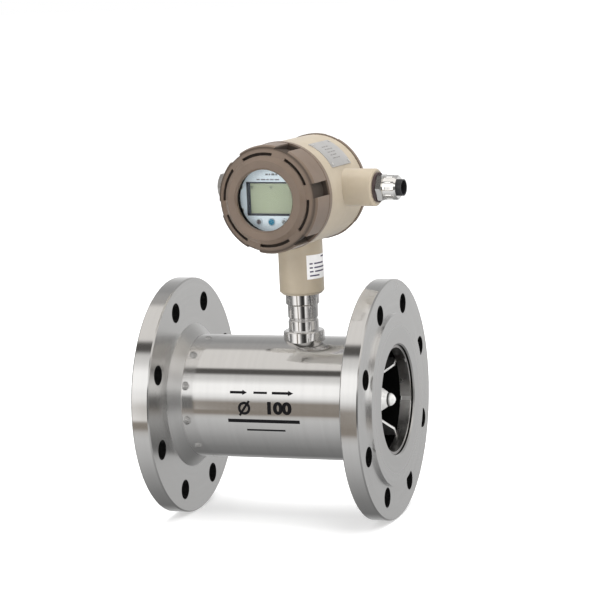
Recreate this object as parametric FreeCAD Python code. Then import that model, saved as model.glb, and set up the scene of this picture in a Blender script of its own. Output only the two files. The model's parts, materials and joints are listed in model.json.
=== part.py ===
import FreeCAD, Part
import math
import os

# Turbine flow meter, flanged DN100. Millimetres.
# The origin is the centre of the inlet sealing face, on the pipe axis.
# +X runs along the flow to the outlet face, +Z runs up the stem to the head.

# ---------------------------------------------------------------- clearances
SEAT = 0.3          # between curved or flat faces of pieces that move apart
SNUG = 0.02         # between pieces that are pressed, screwed or welded together
RUNNING = 0.05      # radial play of a shaft or spigot that turns in its hole
REACH = 2.0         # how far a cutting tool runs past the face that it opens

# ---------------------------------------------------------------- pipe and flanges
FACE_TO_FACE = 220.0
BORE_R = 50.0
TUBE_WALL = 7.0
TUBE_R = BORE_R + TUBE_WALL
FLANGE_R = 110.0
RIM_THICK = 17.0
FACE_STEP = 3.0
BOLT_EDGE = 20.0
BOLT_CIRCLE_R = FLANGE_R - BOLT_EDGE
BOLT_HOLE_R = 9.0
BOLT_COUNT = 8
FACE_LAND = 2.0
FACE_R = BOLT_CIRCLE_R - BOLT_HOLE_R - FACE_LAND
WELD_CONE = 10.0
RIM_CHAMFER = 1.2
BORE_CHAMFER = 1.5

# ---------------------------------------------------------------- flow guides and their rings
RING_LIP = 3.0
RING_WIDTH = 10.0
RING_GROOVE = 1.5
RING_PROUD = 2.5
RING_SPLIT = 4.0
RING_SPLIT_ANGLE = 100.0
RING_LUG_ANGLE = 50.0
RING_LUG = 4.0
GUIDE_HUB_R = 19.0
GUIDE_NOSE = 45.0
GUIDE_TIP_R = 7.0
GUIDE_TIP_INSET = 2.5
VANE_COUNT = 4
VANE_THICK = 2.5
VANE_FIRST_ANGLE = 52.0
VANE_TIP_LAND = 8.0
VANE_SWEEP = 28.0
VANE_ROOT_R = 10.0
CHAMBER_STEP = 1.0
CHAMBER_HALF = 25.0

# ---------------------------------------------------------------- rotor
STEM_X = 132.0
ROTOR_HALF = 13.0
ROTOR_HUB_R = 19.0
BLADE_COUNT = 8
BLADE_THICK = 2.2
BLADE_EDGE = 0.9
BLADE_HALF = 12.0
BLADE_LEAD = 300.0
BLADE_TIP_GAP = 0.8
BLADE_STATIONS = 5
HUB_GAP = 1.5
SHAFT_R = 3.0
SHAFT_OVERRUN = 1.0
WASHER_R = 5.5
WASHER_THICK = 1.0
BUSH_R = 6.0
BUSH_LENGTH = 12.0
THRUST_R = 4.0
THRUST_THICK = 2.5
THRUST_PLAY = 0.5

# ---------------------------------------------------------------- pick-up and stem
POCKET_R = 6.3
POCKET_WALL = 3.0
PICKUP_R = 6.0
PICKUP_LENGTH = 40.0
CORE_R = 2.0
CORE_LENGTH = 7.0
COLLAR_R = 19.0
COLLAR_RISE = 6.5
COLLAR_TOP = TUBE_R + COLLAR_RISE
BOSS_R = 14.0
BOSS_NECK = 9.5
BOSS_TOP = COLLAR_TOP + BOSS_NECK
STEM_SOCKET = 11.0
BOSS_LEDGE = BOSS_TOP - STEM_SOCKET
SPIGOT_R = 10.5
STEM_BORE_R = 9.2
STEM_GROOVE_R = 12.8
STEM_GROOVE = 3.0
STEM_R = 14.0
STEM_CAP_R = 15.5
STEM_LENGTH = 15.5
STEM_CAP_BASE = BOSS_TOP + STEM_LENGTH
STEM_CAP = 8.7
NECK_BASE = STEM_CAP_BASE + STEM_CAP + SEAT
PIVOT_R = 13.0
PIVOT_LENGTH = 24.5
PIVOT_TOP = NECK_BASE + PIVOT_LENGTH
LOCK_NUT_R = 8.9
LOCK_NUT_THICK = 5.0
LEAD_PLUG_R = 4.5
LEAD_PLUG = 9.0
STEM_SEAL_RISE = 7.5
STEM_SEAL_Z = NECK_BASE + STEM_SEAL_RISE
STEM_SEAL_WIRE = 0.8

# ---------------------------------------------------------------- head
HEAD_RISE = 93.5
HEAD_Z = NECK_BASE + HEAD_RISE
HEAD_TURN = 6.0
NECK_R = 20.5
NECK_CHAMFER = 2.5
CABLE_R = 9.0
CHAMBER_R = 43.5
DRUM_WALL = 4.5
DRUM_R = CHAMBER_R + DRUM_WALL
DRUM_FRONT = -30.7
DRUM_REAR = 40.7
WALL_FRONT = -6.0
WALL_REAR = 4.0
CONDUIT_R = 17.0
CONDUIT_REACH = 75.0
CONDUIT_S = 10.0
CONDUIT_UP = 3.0
CONDUIT_BORE_R = 10.5
CONDUIT_CHAMFER = 1.5

# ---------------------------------------------------------------- covers
COVER_FACE = -70.0
COVER_BAND_STEP = 1.0
COVER_BAND_R = DRUM_R + COVER_BAND_STEP
COVER_BAND = 5.0
PAD_FRONT = -64.5
PAD_STEP = 0.6
PAD_R = DRUM_R + PAD_STEP
VALLEY_DEPTH = 5.6
VALLEY_REAR_R = PAD_R - VALLEY_DEPTH
VALLEY_RISE = 3.4
VALLEY_FRONT_R = VALLEY_REAR_R + VALLEY_RISE
VALLEY_EDGE = 1.5
PAD_ROUND = 4.0
PAD_CHAMFER = 2.0
PAD_LAND = 6.2
PAD_GROOVE = 2.8
PAD_GROOVE_DEPTH = 3.5
COVER_RING_R = PAD_R - PAD_LAND - PAD_GROOVE
COVER_BEVEL_R = 4.1
COVER_FLAT_R = COVER_RING_R - COVER_BEVEL_R
COVER_BEVEL = 4.0
SLOT_COUNT = 6
SLOT_WIDTH = 13.0
SLOT_FIRST_ANGLE = 10.0
THREAD_WALL = 5.0
COVER_INNER_R = CHAMBER_R - THREAD_WALL
THREAD_LENGTH = 12.0
WINDOW_LEDGE = 6.5
WINDOW_LIP = 4.0
GASKET = 0.8
GLASS_EDGE = 4.5
GLASS_R = COVER_INNER_R - GLASS_EDGE
WINDOW_R = GLASS_R - WINDOW_LEDGE
GLASS_THICK = 6.0
KEEPER_LIP = 5.0
KEEPER_R = GLASS_R - KEEPER_LIP
KEEPER_THICK = 2.0
SEAL_WIRE = 0.9
REAR_END = 46.5
REAR_DISH_R = 30.0
REAR_DISH = 1.5
REAR_WALL = 4.0

# ---------------------------------------------------------------- display and electronics
PLATE_FRONT = -55.0
PLATE_THICK = 2.0
PLATE_GAP = 2.5
PLATE_R = COVER_INNER_R - PLATE_GAP
LCD_WIDE = 45.0
LCD_HIGH = 29.0
LCD_INSET = 0.8
LCD_THICK = 4.0
BOARD_FRONT = -46.0
BOARD_THICK = 1.6
POST_R = 3.0
POST_INSET = 5.0
POST_RING_R = PLATE_R - POST_INSET
POST_ANGLES = (20.0, 160.0, 200.0, 340.0)
SCREW_R = 1.4
SCREW_HEAD_R = 2.6
SCREW_HEAD = 1.6
BUTTON_PITCH = 12.5
BUTTON_LOW = 20.7
BUTTON_R = 3.3
BUTTON_PROUD = 0.8
BUTTON_FLANGE_R = 4.0
BUTTON_FLANGE = 0.8
BUTTON_TRAVEL = 0.5
SWITCH_HALF = 2.8
TERMINAL_WIDE = 48.0
TERMINAL_HIGH = 15.0
TERMINAL_DEEP = 14.0
TERMINAL_STEP = 3.0
TERMINAL_WAYS = 6
TERMINAL_SCREW_R = 2.4

# ---------------------------------------------------------------- fittings on the head
PLUG_HEX_R = 12.0
PLUG_HEAD = 6.0
PLUG_THREAD = 14.0
WASHER_RING_R = 13.5
WASHER_RING = 2.0
HEX_R = 13.0
HEX_THICK = 6.0
SLEEVE_R = 11.2
SLEEVE_LENGTH = 13.0
SLEEVE_WALL = 3.7
SLEEVE_FLUTES = 12
SLEEVE_FLUTE_R = 1.4
INSERT_PROUD = 4.5
INSERT_CAVITY = 9.0
INSERT_WALL = 1.2
PIN_COUNT = 4
PIN_R = 0.5
PIN_LENGTH = 4.3
PIN_RING_R = 3.0
NAMEPLATE_FROM = 29.0
NAMEPLATE_TO = 66.0
NAMEPLATE_FRONT = -14.0
NAMEPLATE_REAR = 26.0
NAMEPLATE_THICK = 0.6
RIVET_R = 1.3
RIVET_HEAD = 0.8
RIVET_INSET = 3.0
SET_SCREW_R = 2.5
SET_SCREW_RISE = 14.5
SET_SCREW_Z = NECK_BASE + SET_SCREW_RISE

X_AXIS = FreeCAD.Vector(1, 0, 0)
Y_AXIS = FreeCAD.Vector(0, 1, 0)
Z_AXIS = FreeCAD.Vector(0, 0, 1)
ORIGIN = FreeCAD.Vector(0, 0, 0)
HEAD_CENTRE = FreeCAD.Vector(STEM_X, 0, HEAD_Z)


# ---------------------------------------------------------------- tools
def point(x, y, z):
    return FreeCAD.Vector(x, y, z)


def lathe(stations):
    """Solid turned about X from a closed outline of (along, radius) points."""
    wire = Part.makePolygon([point(a, r, 0) for a, r in stations + stations[:1]])
    return Part.Face(wire).revolve(ORIGIN, X_AXIS, 360)


def tube(start, end, outer, inner=0.0):
    """Ring or rod about X."""
    return lathe([(start, inner), (end, inner), (end, outer), (start, outer)])


def along_y(shape):
    """Turn a shape made about X so that it lies about Y."""
    turned = shape.copy()
    turned.rotate(ORIGIN, Z_AXIS, 90)
    return turned


def along_z(shape):
    """Turn a shape made about X so that it stands about Z."""
    turned = shape.copy()
    turned.rotate(ORIGIN, Y_AXIS, -90)
    return turned


def block(low, high):
    """Box between two corners."""
    size = [h - l for l, h in zip(low, high)]
    return Part.makeBox(size[0], size[1], size[2], point(*low))


def spun(shape, axis, angles):
    """Copies of a shape turned about an axis through the origin."""
    copies = []
    for angle in angles:
        copy = shape.copy()
        copy.rotate(ORIGIN, axis, angle)
        copies.append(copy)
    return copies


def steps(count, first=0.0):
    """Evenly spaced angles round a circle."""
    return [first + 360.0 * i / count for i in range(count)]


def moved(shape, x=0.0, y=0.0, z=0.0):
    copy = shape.copy()
    copy.translate(point(x, y, z))
    return copy


def torus(along, ring_radius, wire_radius):
    """Ring of round wire about X."""
    return Part.makeTorus(ring_radius, wire_radius, point(along, 0, 0), X_AXIS)


def hexagon(start, end, corner_radius, inner):
    """Hexagonal nut about X with chamfered corners."""
    corners = []
    for angle in steps(6):
        turn = math.radians(angle)
        corners.append(point(start, corner_radius * math.cos(turn), corner_radius * math.sin(turn)))
    prism = Part.Face(Part.makePolygon(corners + corners[:1])).extrude(point(end - start, 0, 0))
    flat = corner_radius * math.cos(math.pi / 6)
    drop = (corner_radius - flat) * 0.6
    rounding = lathe([
        (start, 0),
        (end, 0),
        (end, flat),
        (end - drop, corner_radius + SNUG),
        (start + drop, corner_radius + SNUG),
        (start, flat),
    ])
    return prism.common(rounding).cut(tube(start - REACH, end + REACH, inner))


def on_head(shape):
    """Put a shape of the head's own frame on the stem: head axis Y, front towards -Y."""
    placed = shape.copy()
    placed.rotate(ORIGIN, Z_AXIS, -HEAD_TURN)
    placed.translate(HEAD_CENTRE)
    return placed


def save(name, shape):
    shape.exportStep("parts/" + name + ".step")


def joined(shapes):
    """Separate solids kept side by side in one piece group."""
    return Part.makeCompound(shapes)


# ---------------------------------------------------------------- pipe
def flange():
    """Weld-neck flange with a raised face, its sealing face at X = 0."""
    back = FACE_STEP + RIM_THICK
    groove_end = RING_LIP + RING_WIDTH
    body = lathe([
        (0, BORE_R + BORE_CHAMFER),
        (0, FACE_R),
        (FACE_STEP, FACE_R),
        (FACE_STEP, FLANGE_R - RIM_CHAMFER),
        (FACE_STEP + RIM_CHAMFER, FLANGE_R),
        (back - RIM_CHAMFER, FLANGE_R),
        (back, FLANGE_R - RIM_CHAMFER),
        (back, TUBE_R + WELD_CONE),
        (back + WELD_CONE, TUBE_R),
        (back + WELD_CONE, BORE_R),
        (groove_end, BORE_R),
        (groove_end, BORE_R + RING_GROOVE),
        (RING_LIP, BORE_R + RING_GROOVE),
        (RING_LIP, BORE_R),
        (BORE_CHAMFER, BORE_R),
    ])
    hole = tube(-REACH, back + REACH, BOLT_HOLE_R)
    hole.translate(point(0, 0, BOLT_CIRCLE_R))
    half_step = 180.0 / BOLT_COUNT
    return body.cut(Part.makeCompound(spun(hole, X_AXIS, steps(BOLT_COUNT, half_step))))


def body_tube():
    """Meter tube between the flange necks, with a narrower rotor chamber and a blind pick-up pocket."""
    start = FACE_STEP + RIM_THICK + WELD_CONE
    end = FACE_TO_FACE - start
    chamber_r = BORE_R - CHAMBER_STEP
    body = lathe([
        (start, BORE_R),
        (STEM_X - CHAMBER_HALF, BORE_R),
        (STEM_X - CHAMBER_HALF, chamber_r),
        (STEM_X + CHAMBER_HALF, chamber_r),
        (STEM_X + CHAMBER_HALF, BORE_R),
        (end, BORE_R),
        (end, TUBE_R),
        (start, TUBE_R),
    ])
    pocket = along_z(tube(chamber_r + POCKET_WALL, TUBE_R + REACH, POCKET_R))
    return body.cut(moved(pocket, x=STEM_X))


def mirrored(shape):
    """The same shape at the outlet end."""
    return shape.mirror(point(FACE_TO_FACE / 2, 0, 0), X_AXIS)


def retaining_ring():
    """Split spring ring that holds a flow guide, for the inlet end."""
    outer = BORE_R + RING_GROOVE - SNUG
    inner = BORE_R - RING_PROUD
    start = RING_LIP + SNUG
    end = RING_LIP + RING_WIDTH - SNUG
    ring = tube(start, end, outer, inner)
    split = block((start - REACH, -RING_SPLIT / 2, 0), (end + REACH, RING_SPLIT / 2, outer + REACH))
    split.rotate(ORIGIN, X_AXIS, -RING_SPLIT_ANGLE)
    lug = block((start, -RING_LUG / 2, inner - RING_PROUD), (end, RING_LUG / 2, inner + RING_PROUD))
    lug.rotate(ORIGIN, X_AXIS, -RING_LUG_ANGLE)
    return ring.cut(split).fuse(lug).removeSplitter()


def guide(rotor_face, chamber_edge):
    """Flow guide at the inlet: bullet hub on radial vanes, bored for bush, shaft end and thrust disc."""
    tip = GUIDE_TIP_INSET
    shoulder = tip + GUIDE_NOSE
    curve = (GUIDE_HUB_R ** 2 + GUIDE_NOSE ** 2) / (2 * GUIDE_HUB_R)
    half = GUIDE_NOSE / 2
    mid_r = math.sqrt(curve ** 2 - half ** 2) + GUIDE_HUB_R - curve
    tip_r = math.sqrt(curve ** 2 - (GUIDE_NOSE - GUIDE_TIP_R) ** 2) + GUIDE_HUB_R - curve
    nose_start = point(tip + GUIDE_TIP_R, tip_r, 0)
    bevel = GUIDE_TIP_R / 3
    edges = [
        Part.Arc(point(tip, 0, 0), point(tip + bevel, tip_r * 0.72, 0), nose_start).toShape(),
        Part.Arc(nose_start, point(shoulder - half, mid_r, 0), point(shoulder, GUIDE_HUB_R, 0)).toShape(),
        Part.makePolygon([
            point(shoulder, GUIDE_HUB_R, 0),
            point(rotor_face, GUIDE_HUB_R, 0),
            point(rotor_face, 0, 0),
            point(tip, 0, 0),
        ]),
    ]
    hub = Part.Face(Part.Wire(sum([e.Edges for e in edges], []))).revolve(ORIGIN, X_AXIS, 360)

    ring_face = RING_LIP + RING_WIDTH + SNUG
    stop = chamber_edge - SNUG
    tip_edge = BORE_R - SNUG
    inside_chamber = BORE_R - CHAMBER_STEP - SNUG
    outline = [
        (ring_face, tip_edge),
        (stop, tip_edge),
        (stop, inside_chamber),
        (rotor_face - 2 * CHAMBER_STEP, inside_chamber),
        (rotor_face - 2 * CHAMBER_STEP, VANE_ROOT_R),
        (ring_face + VANE_SWEEP, VANE_ROOT_R),
        (ring_face, tip_edge - VANE_TIP_LAND),
    ]
    wire = Part.makePolygon([point(a, -VANE_THICK / 2, r) for a, r in outline + outline[:1]])
    vane = Part.Face(wire).extrude(point(0, VANE_THICK, 0))
    angles = [-a for a in steps(VANE_COUNT, VANE_FIRST_ANGLE)]
    body = hub.multiFuse(spun(vane, X_AXIS, angles))

    bush_end = rotor_face - BUSH_LENGTH
    disc_end = bush_end - SHAFT_OVERRUN - THRUST_PLAY - THRUST_THICK
    body = body.cut(tube(bush_end, rotor_face + REACH, BUSH_R + SNUG))
    return body.cut(tube(disc_end, bush_end + REACH, THRUST_R + SNUG))


def bush(rotor_face):
    return tube(rotor_face - BUSH_LENGTH + SNUG, rotor_face, BUSH_R, SHAFT_R + RUNNING)


def thrust_disc(rotor_face):
    face = rotor_face - BUSH_LENGTH - SHAFT_OVERRUN - THRUST_PLAY
    return tube(face - THRUST_THICK + SNUG, face, THRUST_R)


def rotor():
    """Turbine rotor: bored hub with helical blades, each a loft of sectors turned along the lead."""
    tip = BORE_R - CHAMBER_STEP - BLADE_TIP_GAP
    root = ROTOR_HUB_R - REACH
    sections = []
    for i in range(BLADE_STATIONS):
        along = -BLADE_HALF + 2 * BLADE_HALF * i / (BLADE_STATIONS - 1)
        swell = 1 - (along / BLADE_HALF) ** 2
        half = (BLADE_EDGE + (BLADE_THICK - BLADE_EDGE) * swell) / 2
        corners = [
            point(along, -half, root),
            point(along, half, root),
            point(along, half, tip),
            point(along, -half, tip),
        ]
        section = Part.makePolygon(corners + corners[:1])
        section.rotate(ORIGIN, X_AXIS, 360.0 * along / BLADE_LEAD)
        sections.append(section)
    blade = Part.makeLoft(sections, True, False)
    edge = HUB_GAP / 2
    hub = lathe([
        (-ROTOR_HALF, SHAFT_R + SNUG),
        (ROTOR_HALF, SHAFT_R + SNUG),
        (ROTOR_HALF, ROTOR_HUB_R - edge),
        (ROTOR_HALF - edge, ROTOR_HUB_R),
        (edge - ROTOR_HALF, ROTOR_HUB_R),
        (-ROTOR_HALF, ROTOR_HUB_R - edge),
    ])
    wheel = hub.multiFuse(spun(blade, X_AXIS, steps(BLADE_COUNT)))
    return moved(wheel, x=STEM_X)


def rotor_shaft():
    half = ROTOR_HALF + HUB_GAP + BUSH_LENGTH + SHAFT_OVERRUN
    chamfer = SHAFT_R / 5
    return lathe([
        (STEM_X - half, 0),
        (STEM_X + half, 0),
        (STEM_X + half, SHAFT_R - chamfer),
        (STEM_X + half - chamfer, SHAFT_R),
        (STEM_X - half + chamfer, SHAFT_R),
        (STEM_X - half, SHAFT_R - chamfer),
    ])


def thrust_washers():
    start = ROTOR_HALF + SNUG
    washer = tube(start, start + WASHER_THICK, WASHER_R, SHAFT_R + SNUG)
    pair = [washer, washer.mirror(ORIGIN, X_AXIS)]
    return moved(joined(pair), x=STEM_X)


# ---------------------------------------------------------------- pick-up and stem
def at_stem(shape):
    """Stand a shape made about X on the stem axis."""
    return moved(along_z(shape), x=STEM_X)


def sensor_boss():
    """Boss welded to the tube: a saddle collar and a round neck, counterbored for the stem."""
    round_edge = REACH / 2
    blank = lathe([
        (0, POCKET_R + SNUG),
        (BOSS_LEDGE, POCKET_R + SNUG),
        (BOSS_LEDGE, SPIGOT_R),
        (BOSS_TOP, SPIGOT_R),
        (BOSS_TOP, BOSS_R - round_edge / 2),
        (BOSS_TOP - round_edge / 2, BOSS_R),
        (COLLAR_TOP, BOSS_R),
        (COLLAR_TOP, COLLAR_R - round_edge),
        (COLLAR_TOP - round_edge, COLLAR_R),
        (0, COLLAR_R),
    ])
    return at_stem(blank).cut(tube(0, FACE_TO_FACE, TUBE_R + SNUG))


def stem():
    """Stem screwed into the boss, with the cap that the head turns on."""
    edge = STEM_CAP_R - STEM_R
    groove = STEM_SEAL_WIRE * 2
    groove_r = PIVOT_R - groove
    screw_groove = SET_SCREW_R + SNUG
    return at_stem(lathe([
        (BOSS_LEDGE + SNUG, STEM_BORE_R),
        (PIVOT_TOP, STEM_BORE_R),
        (PIVOT_TOP, PIVOT_R - SNUG),
        (SET_SCREW_Z + screw_groove, PIVOT_R),
        (SET_SCREW_Z + screw_groove, PIVOT_R - groove),
        (SET_SCREW_Z - screw_groove, PIVOT_R - groove),
        (SET_SCREW_Z - screw_groove, PIVOT_R),
        (STEM_SEAL_Z + groove / 2 + SNUG, PIVOT_R),
        (STEM_SEAL_Z + groove / 2 + SNUG, groove_r - SNUG),
        (STEM_SEAL_Z - groove / 2 - SNUG, groove_r - SNUG),
        (STEM_SEAL_Z - groove / 2 - SNUG, PIVOT_R),
        (NECK_BASE - SEAT, PIVOT_R),
        (NECK_BASE - SEAT, STEM_CAP_R),
        (STEM_CAP_BASE, STEM_CAP_R),
        (STEM_CAP_BASE - edge, STEM_R),
        (BOSS_TOP + STEM_GROOVE, STEM_R),
        (BOSS_TOP + STEM_GROOVE, STEM_GROOVE_R),
        (BOSS_TOP + SNUG, STEM_GROOVE_R),
        (BOSS_TOP + SNUG, SPIGOT_R - SNUG),
        (BOSS_LEDGE + SNUG, SPIGOT_R - SNUG),
    ]))


def stem_seal():
    return at_stem(torus(STEM_SEAL_Z, PIVOT_R - STEM_SEAL_WIRE, STEM_SEAL_WIRE - SNUG))


def pickup_parts():
    """Pick-up coil body, its pole piece, lock nut and lead plug."""
    floor = BORE_R - CHAMBER_STEP + POCKET_WALL + SNUG
    bored = tube(floor, floor + CORE_LENGTH, CORE_R + SNUG)
    top = floor + PICKUP_LENGTH
    body = tube(floor, top, PICKUP_R).cut(bored)
    core = tube(floor, floor + CORE_LENGTH - SNUG, CORE_R)
    nut = hexagon(BOSS_LEDGE + SNUG, BOSS_LEDGE + LOCK_NUT_THICK, LOCK_NUT_R, PICKUP_R + SNUG)
    plug = tube(top + SNUG, top + LEAD_PLUG, LEAD_PLUG_R)
    return {
        "pickup_coil": at_stem(body),
        "pickup_core": at_stem(core),
        "pickup_lock_nut": at_stem(nut),
        "pickup_plug": at_stem(plug),
    }


# ---------------------------------------------------------------- housing
def housing_body():
    """Two-chamber drum on a round neck, with a conduit boss on each side."""
    edge = CONDUIT_CHAMFER
    drum = along_y(tube(DRUM_FRONT, DRUM_REAR, DRUM_R))
    neck_low = NECK_BASE - HEAD_Z
    neck = along_z(lathe([
        (neck_low, 0),
        (0, 0),
        (0, NECK_R),
        (neck_low + NECK_CHAMFER, NECK_R),
        (neck_low, NECK_R - NECK_CHAMFER),
    ]))
    arm = lathe([
        (-CONDUIT_REACH, 0),
        (CONDUIT_REACH, 0),
        (CONDUIT_REACH, CONDUIT_R - edge),
        (CONDUIT_REACH - edge, CONDUIT_R),
        (edge - CONDUIT_REACH, CONDUIT_R),
        (-CONDUIT_REACH, CONDUIT_R - edge),
    ])
    body = drum.multiFuse([neck, moved(arm, y=CONDUIT_S, z=CONDUIT_UP)]).removeSplitter()
    pivot_depth = PIVOT_TOP + REACH - HEAD_Z
    bore_end = CONDUIT_REACH + REACH
    cuts = [
        along_y(tube(DRUM_FRONT - REACH, WALL_FRONT, CHAMBER_R)),
        along_y(tube(WALL_REAR, DRUM_REAR + REACH, CHAMBER_R)),
        moved(tube(-bore_end, bore_end, CONDUIT_BORE_R), y=CONDUIT_S, z=CONDUIT_UP),
        along_z(tube(neck_low - REACH, pivot_depth, PIVOT_R + RUNNING)),
        along_z(tube(pivot_depth - REACH, -CHAMBER_R + REACH, CABLE_R)),
        moved(along_y(tube(0, NECK_R + REACH, SET_SCREW_R + SNUG)), z=SET_SCREW_Z - HEAD_Z),
    ]
    return body.cut(Part.makeCompound(cuts))


# ---------------------------------------------------------------- covers
def slot_turns():
    """Turns from the top to each grip slot, whose angles count from the head's right side."""
    return [90.0 - a for a in steps(SLOT_COUNT, SLOT_FIRST_ANGLE)]


def grip_pads(front, rear, ring_r):
    """Ring of raised pads with rounded noses, parted by straight slots."""
    pads = lathe([
        (front, ring_r),
        (front, PAD_R - PAD_ROUND),
        (front + PAD_ROUND / 3, PAD_R - PAD_ROUND / 3),
        (front + PAD_ROUND, PAD_R),
        (rear, PAD_R),
        (rear, ring_r),
    ])
    return pads.cut(slots(front, rear, ring_r))


def slots(front, rear, floor_r):
    """Straight cutters, one for each slot, from a floor radius outwards."""
    half = SLOT_WIDTH / 2
    slot = block((front - REACH, -half, floor_r), (rear + REACH, half, PAD_R + 2 * REACH))
    return Part.makeCompound(spun(slot, X_AXIS, slot_turns()))


def front_cover():
    """Threaded cover with a bevelled window ring and six grip pads."""
    band_rear = DRUM_FRONT - SEAT
    band_front = band_rear - COVER_BAND
    thread_end = band_rear + THREAD_LENGTH
    thread_r = CHAMBER_R - SEAT
    seal_floor = thread_r - 2 * SEAL_WIRE - SEAT
    seal_start = band_rear + SEAL_WIRE
    seal_end = seal_start + 2 * SEAL_WIRE + 2 * SEAT
    lip_rear = COVER_FACE + WINDOW_LIP
    glass_seat = lip_rear + GASKET + GLASS_THICK + SNUG
    keeper_rear = glass_seat + KEEPER_THICK
    body = lathe([
        (COVER_FACE, WINDOW_R + BORE_CHAMFER),
        (COVER_FACE, COVER_FLAT_R),
        (COVER_FACE + COVER_BEVEL, COVER_RING_R),
        (PAD_FRONT, VALLEY_FRONT_R - VALLEY_EDGE),
        (PAD_FRONT + VALLEY_EDGE, VALLEY_FRONT_R),
        (band_front, VALLEY_REAR_R),
        (band_front, COVER_BAND_R),
        (band_rear, COVER_BAND_R),
        (band_rear, thread_r),
        (seal_start, thread_r),
        (seal_start, seal_floor),
        (seal_end, seal_floor),
        (seal_end, thread_r),
        (thread_end, thread_r),
        (thread_end, COVER_INNER_R),
        (keeper_rear, COVER_INNER_R),
        (glass_seat, GLASS_R + SNUG),
        (lip_rear, GLASS_R + SNUG),
        (lip_rear, WINDOW_R),
        (COVER_FACE + BORE_CHAMFER, WINDOW_R),
    ])
    pads = grip_pads(PAD_FRONT, band_front + SNUG, COVER_RING_R)
    groove_end = PAD_FRONT + PAD_GROOVE_DEPTH
    groove = tube(PAD_FRONT - REACH, groove_end, COVER_RING_R + PAD_GROOVE, COVER_RING_R)
    groove = groove.cut(slots(PAD_FRONT, groove_end, COVER_FLAT_R))
    return body.fuse(pads).cut(groove).removeSplitter()


def window_parts():
    """Gasket, glass and the threaded keeper ring inside the front cover."""
    lip_rear = COVER_FACE + WINDOW_LIP
    glass_front = lip_rear + GASKET
    glass_rear = glass_front + GLASS_THICK
    gasket = tube(lip_rear + SNUG, glass_front - SNUG, GLASS_R, WINDOW_R + SNUG)
    glass = tube(glass_front, glass_rear, GLASS_R)
    slope = COVER_INNER_R - GLASS_R
    keeper = lathe([
        (glass_rear + SNUG, KEEPER_R),
        (glass_rear + KEEPER_THICK, KEEPER_R),
        (glass_rear + KEEPER_THICK, GLASS_R + slope / 2),
        (glass_rear + 2 * SNUG, GLASS_R - SNUG),
        (glass_rear + SNUG, GLASS_R - SNUG),
    ])
    return {"window_gasket": gasket, "window_glass": glass, "window_keeper": keeper}


def rear_cover():
    """Blind threaded cover with a dished end and notched rim."""
    band_front = DRUM_REAR + SEAT
    thread_end = band_front - THREAD_LENGTH
    thread_r = CHAMBER_R - SEAT
    seal_floor = thread_r - 2 * SEAL_WIRE - SEAT
    seal_start = band_front - SEAL_WIRE
    seal_end = seal_start - 2 * SEAL_WIRE - 2 * SEAT
    body = lathe([
        (thread_end, COVER_INNER_R),
        (REAR_END - REAR_WALL, COVER_INNER_R),
        (REAR_END - REAR_WALL, 0),
        (REAR_END - REAR_DISH, 0),
        (REAR_END - REAR_DISH, REAR_DISH_R),
        (REAR_END, REAR_DISH_R + REAR_DISH),
        (REAR_END, COVER_BAND_R - PAD_CHAMFER),
        (REAR_END - PAD_CHAMFER, COVER_BAND_R),
        (band_front, COVER_BAND_R),
        (band_front, thread_r),
        (seal_start, thread_r),
        (seal_start, seal_floor),
        (seal_end, seal_floor),
        (seal_end, thread_r),
        (thread_end, thread_r),
    ])
    half = SLOT_WIDTH / 2
    floor_r = VALLEY_REAR_R
    notch = block(
        (band_front + PAD_CHAMFER, -half, floor_r),
        (REAR_END + REACH, half, COVER_BAND_R + REACH),
    )
    return body.cut(Part.makeCompound(spun(notch, X_AXIS, slot_turns())))


def cover_seals():
    """O-rings that the covers push along as they screw in."""
    ring_r = CHAMBER_R - SEAT - SEAL_WIRE
    offset = 2 * SEAL_WIRE + SEAT
    front = torus(DRUM_FRONT - SEAT + offset, ring_r, SEAL_WIRE)
    rear = torus(DRUM_REAR + SEAT - offset, ring_r, SEAL_WIRE)
    return {"front_seal": front, "rear_seal": rear}


# ---------------------------------------------------------------- display and electronics
def button_places():
    return [(BUTTON_PITCH * i, -BUTTON_LOW) for i in (-1, 0, 1)]


def post_places():
    return [
        (POST_RING_R * math.cos(math.radians(a)), POST_RING_R * math.sin(math.radians(a)))
        for a in POST_ANGLES
    ]


def rod(place, front, rear, radius, inner=0.0):
    """Rod along the head axis at a place (right, up)."""
    return moved(along_y(tube(front, rear, radius, inner)), x=place[0], z=place[1])


def slab(front, rear, half_wide, half_high, right=0.0, up=0.0):
    return block(
        (right - half_wide, front, up - half_high),
        (right + half_wide, rear, up + half_high),
    )


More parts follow.
